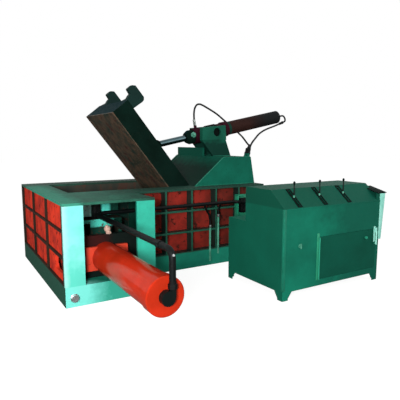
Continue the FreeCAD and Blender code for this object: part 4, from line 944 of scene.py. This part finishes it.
@dataclass
class WallValve:
    """Black shut-off valve in a green bracket where the wall pipe ends."""

    bracket_x: Span = (1.872, 2.05)
    bracket_z: Span = (0.585, 0.885)
    reach: float = 0.075
    sheet: float = 0.014
    body_x: Span = (1.92, 2.03)
    body_z: Span = (0.65, 0.84)
    body_reach: float = 0.085
    spool_heights: Span = (0.69, 0.8)
    spool: Profile = (
        (0.0, 0.034), (0.02, 0.034), (0.024, 0.028), (0.04, 0.028), (0.045, 0.02), (0.07, 0.019))

    def build(self) -> None:
        """Fold the bracket and set the valve with its two spools in it."""
        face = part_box("near_ribs")[0].y
        wall, reach = (0.0, face, 0.0), (-self.reach, -0.01)
        left, (low, high) = self.bracket_x[0], self.bracket_z
        sheets = [block(self.bracket_x, (-0.012, 0.0), self.bracket_z, 0.003, wall)]
        for z in (low, high - self.sheet):
            sheets.append(block(self.bracket_x, reach, (z, z + self.sheet), 0.002, wall))
        sheets.append(block((left, left + self.sheet), reach, (low + 0.005, high - 0.005), 0.002, wall))
        hand_over(joined(sheets), "valve_bracket", HINGE_ENAMEL)
        body = block(self.body_x, (-self.body_reach, -0.012), self.body_z, 0.012, wall)
        seats = [(sum(self.body_x) / 2, face - self.body_reach + 0.002, z) for z in self.spool_heights]
        spools = copies(lathed(self.spool, 24), seats, FRONT)
        hand_over(joined([body, *spools]), "wall_valve", PIPE_ENAMEL)


@dataclass
class Welds:
    """Weld beads where the stand, pillars, hooks and ears are joined to their plates."""

    foot_x: Span = (1.392, 2.322)
    foot_y: float = 0.651
    foot_z: float = 1.003
    edge_y: float = 0.648
    slope: Profile = ((1.386, 1.004), (1.819, 1.3635))
    deck_x: Span = (1.822, 2.262)
    deck_z: float = 1.3625
    pillar_x: Span = (1.966, 2.26)
    pillar_faces: Span = (0.109, 0.171)
    pillar_z: float = 1.364
    lid_open: float = 51.7
    lid_top: float = 0.2015
    hook_faces: tuple[float, ...] = (-0.481, -0.409, 0.249, 0.321)
    hook_run: Span = (-1.434, -1.316)
    ear_faces: tuple[float, ...] = (-0.087, -0.045, 0.045, 0.087)
    ear_run: Span = (-0.738, -0.592)

    def build(self) -> None:
        """Lay the beads of the stand and of the lid."""
        stand = []
        for side in (-1.0, 1.0):
            stand.append(bead_along(self.foot_x, side * self.foot_y, self.foot_z))
            start, end = ((x, side * self.edge_y, z) for x, z in self.slope)
            stand.append(bead(start, end, 0.014))
            stand.append(bead_along(self.deck_x, side * self.edge_y, self.deck_z, 0.01))
            for face in self.pillar_faces:
                stand.append(bead_along(self.pillar_x, side * face, self.pillar_z))
        hand_over(joined(stand), "stand_welds", SEAM_ENAMEL)
        lid = []
        for faces, run in ((self.hook_faces, self.hook_run), (self.ear_faces, self.ear_run)):
            for y in faces:
                start, end = (self.on_lid(along, y) for along in run)
                lid.append(bead(start, end))
        hand_over(joined(lid), "lid_welds", HOOK_ENAMEL, Body.LID)

    def on_lid(self, along: float, across: float) -> Point:
        """Turn a point on the closed lid's top into its place on the open lid."""
        sine, cosine = math.sin(math.radians(self.lid_open)), math.cos(math.radians(self.lid_open))
        return (LID_HINGE[0] + along * cosine + self.lid_top * sine, across,
                LID_HINGE[2] - along * sine + self.lid_top * cosine)


@dataclass
class CabinetTrim:
    """Lever frames and knobs, hinge leaf, latch, handle plate and folded sheet of the unit."""

    first_lever: float = 1.618
    lever_pitch: float = 0.355
    slope: float = 39.32
    slot_y: float = -2.205
    slot_z: float = 1.0065
    slot_size: Span = (0.056, 0.252)
    slot_rim: float = 0.0145
    rim_height: float = 0.007
    knob: Profile = (
        (1.141, 0.0052), (1.144, 0.008), (1.15, 0.0108), (1.158, 0.012), (1.167, 0.0115),
        (1.173, 0.0085), (1.1765, 0.004))
    collar: Profile = ((1.012, 0.0068), (1.014, 0.0095), (1.032, 0.0095), (1.035, 0.0075))
    leaf_x: Span = (1.851, 1.8835)
    leaf_z: Span = (0.146, 0.64)
    leaf_thick: float = 0.0055
    screw_x: float = 1.863
    screw_heights: tuple[float, ...] = (0.19, 0.29, 0.39, 0.49, 0.59)
    screw: Profile = ((0.0, 0.007), (0.002, 0.0065), (0.003, 0.004))
    latch_at: Span = (1.619, 0.539)
    latch: Profile = ((0.0, 0.02), (0.003, 0.02), (0.005, 0.017), (0.005, 0.008), (0.012, 0.008))
    handle_x: Span = (2.727, 2.757)
    handle_z: Span = (0.45, 0.625)
    grip_end_x: Span = (2.73, 2.754)
    grip_end_z: Span = (0.56, 0.615)
    fold: float = 0.03
    eaves: float = 0.918
    flap_foot: float = 0.47
    flap_flare: float = 0.042
    wing_foot: float = 0.93
    wing_rise: float = 0.052
    roof: float = 0.998
    roof_tilt: float = -14.5
    foot_leg: float = 0.075
    gusset_spread: float = 0.05
    gusset_drop: float = 0.07
    gusset_thick: float = 0.006
    gusset_toe: float = 0.006
    gusset_lap: float = 0.003
    gusset_inset: float = 0.001

    def __post_init__(self) -> None:
        """Take the cabinet's faces from its node."""
        (self.left, self.front, self.underside), (self.right, self.back, _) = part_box("unit_cabinet")
        self.face = (0.0, self.front, 0.0)
        self.end = (self.right, self.front, 0.0)
        self.levers = [self.first_lever + index * self.lever_pitch for index in range(3)]

    def build(self) -> None:
        """Make and fit every trim piece."""
        self.frame_slots()
        self.top_levers()
        self.strip_hinge()
        self.turn_latch()
        self.raise_handle()
        self.fold_edges()
        self.hang_flap()
        self.foot_gussets()

    def frame_slots(self) -> None:
        """Rubber frames round the three lever slots, which lie in the sloping top."""
        rim = added(bpy.ops.mesh.primitive_plane_add, size=1.0)
        rim.scale = (*self.slot_size, 1.0)
        settle(rim)
        with editing(rim):
            bpy.ops.mesh.inset(thickness=self.slot_rim)
            bpy.ops.mesh.delete(type="FACE")
            bpy.ops.mesh.select_all(action="SELECT")
            bpy.ops.mesh.extrude_region_move(
                TRANSFORM_OT_translate={"value": (0.0, 0.0, self.rim_height)})
            bpy.ops.mesh.select_all(action="SELECT")
            bpy.ops.mesh.normals_make_consistent(inside=False)
        tilt = math.radians(self.slope)
        rims = copies(rim, [(x, self.slot_y, self.slot_z) for x in self.levers],
                      (0.0, -math.sin(tilt), math.cos(tilt)))
        hand_over(joined(rims), "lever_slot_frames", GASKET)

    def top_levers(self) -> None:
        """A knob on each lever and a bright collar where it leaves its slot."""
        for number, x in enumerate(self.levers, 1):
            body = Body(f"lever_{number}")
            foot = (x, self.slot_y, 0.0)
            knob = stand_on(lathed(self.knob, 20), foot, UP)
            hand_over(knob, f"lever_knob_{number}", GASKET, body)
            turned(f"lever_collar_{number}", RISER_ENAMEL, self.collar, 20, [foot], UP, body)

    def strip_hinge(self) -> None:
        """Pale hinge leaf beside the door, screwed to the cabinet's front."""
        leaf = block(self.leaf_x, (-self.leaf_thick, 0.0), self.leaf_z, 0.0015, self.face)
        seats = [(self.screw_x, self.front - self.leaf_thick, z) for z in self.screw_heights]
        screws = copies(lathed(self.screw, 16), seats, FRONT)
        hand_over(joined([leaf, *screws]), "door_hinge_leaf", HINGE_ENAMEL)

    def turn_latch(self) -> None:
        """Quarter-turn latch on the fixed front panel."""
        seat = (self.latch_at[0], self.front, self.latch_at[1])
        base = stand_on(lathed(self.latch, 24), seat, FRONT)
        wing = block((-0.008, 0.008), (-0.022, -0.011), (-0.027, 0.027), 0.004, seat)
        hand_over(joined([base, wing]), "panel_latch", RISER_ENAMEL)

    def raise_handle(self) -> None:
        """Backplate with a raised end that carries the door's grip."""
        plate = block(self.handle_x, (-0.0085, -0.004), self.handle_z, 0.0015, self.face)
        head = block(self.grip_end_x, (-0.034, -0.006), self.grip_end_z, 0.006, self.face)
        hand_over(joined([plate, head]), "door_handle_plate", PALE_EDGE, Body.DOOR)

    def fold_edges(self) -> None:
        """Folded sheet along the near left corner and the eaves."""
        start = self.left + self.fold
        corner = block((self.left - 0.002, start), (-0.003, 0.02), (0.1, self.eaves), 0.0015, self.face)
        hand_over(corner, "cabinet_corner_fold", SEAM_ENAMEL)
        eaves = block((start, self.right - 0.002), (-0.0025, 0.001), (self.eaves - 0.012, self.eaves),
                      0.001, self.face)
        hand_over(eaves, "cabinet_eaves_fold", CABINET_ENAMEL)

    def hang_flap(self) -> None:
        """Pale flap on the right end, wider at its head, with cheeks and a dark rain plate."""
        flap = block((-0.006, 0.036), (-0.004, 0.016), (self.flap_foot, self.roof), 0.003, self.end)
        drag(flap, lambda at: at.z > 0.9 and at.x > self.right + 0.01, (self.flap_flare, 0.0, 0.0))
        hand_over(flap, "side_flap", PALE_EDGE)
        cheek = block((-0.06, 0.052), (0.004, 0.014), (self.eaves - 0.018, self.roof), 0.002, self.end)
        wing = block((0.066, 0.074), (0.004, 0.21), (self.wing_foot, self.roof), 0.002, self.end)
        drag(wing, lambda at: at.z > 0.97 and at.y > self.front + 0.1, (0.0, 0.0, self.wing_rise))
        hand_over(joined([cheek, wing]), "gable_cheeks", DOOR_ENAMEL)
        plate = block((-0.055, 0.092), (-0.01, 0.22), (-0.004, 0.004), 0.0015, self.end)
        with editing(plate):
            bpy.ops.transform.rotate(value=math.radians(self.roof_tilt), orient_axis="X",
                                     center_override=self.face)
        plate.location = (0.0, 0.0, self.roof + 0.002)
        hand_over(plate, "rain_plate", GASKET)

    def foot_gussets(self) -> None:
        """Triangular plates that brace the feet along the front and along the left end."""
        leg, low, top = self.foot_leg, self.underside - self.gusset_drop, self.underside
        plates = []
        for axis, face, ends in ((0, self.front, (self.left + leg, self.right - leg)),
                                 (1, self.left, (self.front + leg, self.back - leg))):
            across = (face + self.gusset_inset, face + self.gusset_inset + self.gusset_thick)
            for end, way in zip(ends, (1, -1)):
                start = end - way * self.gusset_lap
                toe = start + way * self.gusset_spread
                along = (min(start, toe), max(start, toe))
                spans = (across, along) if axis else (along, across)
                plate = block(*spans, (low, top), 0.001)
                drag(plate, lambda at: abs(at[axis] - toe) < 0.002 and at.z < (low + top) / 2,
                     (0.0, 0.0, self.gusset_drop - self.gusset_toe))
                plates.append(plate)
        hand_over(joined(plates), "foot_gussets", CABINET_ENAMEL)


# Light and floor.
@dataclass(frozen=True)
class Lamp:
    """One soft square lamp: where it hangs, what it faces, its side and its power in watts."""

    name: str
    place: Point
    aim: Point
    size: float
    power: float

    def hang(self) -> None:
        """Hang the lamp in the scene."""
        data = bpy.data.lights.new(self.name, "AREA")
        data.size = self.size
        data.energy = self.power
        lamp = bpy.data.objects.new(self.name, data)
        lamp.location = self.place
        facing = Vector(self.aim) - Vector(self.place)
        lamp.rotation_euler = facing.to_track_quat("-Z", "Y").to_euler()
        bpy.context.scene.collection.objects.link(lamp)


@dataclass
class Studio:
    """Pale floor, soft lamps and an even sky."""

    floor: str = "8C8C8A"
    lift: float = 0.9
    sky: float = 0.4
    lamps: tuple[Lamp, ...] = (
        Lamp("key", (-2.9, -6.4, 1.9), (0.4, -0.9, 0.6), 1.2, 420.0),
        Lamp("side", (-4.2, -1.6, 1.6), (-0.4, -0.4, 0.6), 1.5, 22.0),
        Lamp("fill", (5.5, -7.0, 4.5), (1.6, -0.9, 0.8), 5.0, 120.0),
    )

    def build(self) -> None:
        """Make the floor, the sky and the lamps."""
        self.lay_floor()
        self.light_sky()
        for lamp in self.lamps:
            lamp.hang()

    def lay_floor(self) -> None:
        """Lay a plain floor that stays white to the camera and keeps shadows."""
        floor = added(bpy.ops.mesh.primitive_plane_add, size=60.0, location=(1.0, 0.0, -0.001))
        floor.name = "floor"
        material = bpy.data.materials.new("plain_floor")
        tree = cleared(material)
        path = add_node(tree, "LightPath")
        matt = add_node(tree, "BsdfDiffuse", {"Color": linear(self.floor)})
        lift = add_node(tree, "Emission", {"Color": grey(1.0), "Strength": self.lift})
        both = add_node(tree, "AddShader", {0: matt.outputs[0], 1: lift.outputs[0]})
        seen = add_node(tree, "MixShader", {
            0: path.outputs["Is Camera Ray"], 1: matt.outputs[0], 2: both.outputs[0]})
        add_node(tree, "OutputMaterial", {"Surface": seen.outputs[0]})
        floor.data.materials.append(material)

    def light_sky(self) -> None:
        """Light the scene evenly, and show white behind it and in its gloss."""
        world = bpy.data.worlds.new("sky")
        bpy.context.scene.world = world
        tree = cleared(world)
        path = add_node(tree, "LightPath")
        shown = add_node(tree, "Math", {
            0: path.outputs["Is Camera Ray"], 1: path.outputs["Is Glossy Ray"]},
            {"operation": "MAXIMUM"})
        light = add_node(tree, "Background", {
            "Color": grey(1.0),
            "Strength": mapped(tree, shown.outputs[0], (0.0, 1.0), (self.sky, 1.0))})
        add_node(tree, "OutputWorld", {"Surface": light.outputs[0]})


HOSES = (
    Hose("front_line", "front_hose", (
        (1.7608, 0.0, 1.7901), (1.7428, 0.0, 1.8783), (1.75, 0.005, 2.035), (1.86, 0.07, 2.12),
        (2.075, 0.13, 2.045), (2.235, 0.15, 1.975), (2.4, 0.165, 1.865), (2.56, 0.17, 1.765),
        (2.615, 0.06, 1.66), (2.53, -0.11, 1.625), (2.515, -0.275, 1.505), (2.39, -0.465, 1.525),
        (2.2909, -0.5247, 1.4607), (2.2571, -0.5473, 1.3976)), 2.128, ZINC),
    Hose("rear_line", "rear_hose", (
        (3.3498, -0.0501, 1.8681), (3.2519, -0.0774, 1.8392), (3.115, -0.115, 1.8),
        (2.96, -0.165, 1.765), (2.81, -0.23, 1.725), (2.665, -0.31, 1.675), (2.535, -0.4, 1.615),
        (2.37, -0.515, 1.535), (2.2909, -0.5847, 1.4607), (2.2571, -0.6073, 1.3976)), 1.348),
)


def main() -> None:
    """Build the scene in order."""
    logging.basicConfig(level=logging.INFO)
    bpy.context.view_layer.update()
    PhotographerView().build()
    for hose in HOSES:
        hose.build()
    dress_nodes()
    for assembly in (TailLine(), CylinderLugs(), Fittings(), WallValve(), Welds(), CabinetTrim(),
                     Studio()):
        assembly.build()
    bpy.context.scene.view_settings.view_transform = "Standard"


if __name__ == "__main__":
    main()
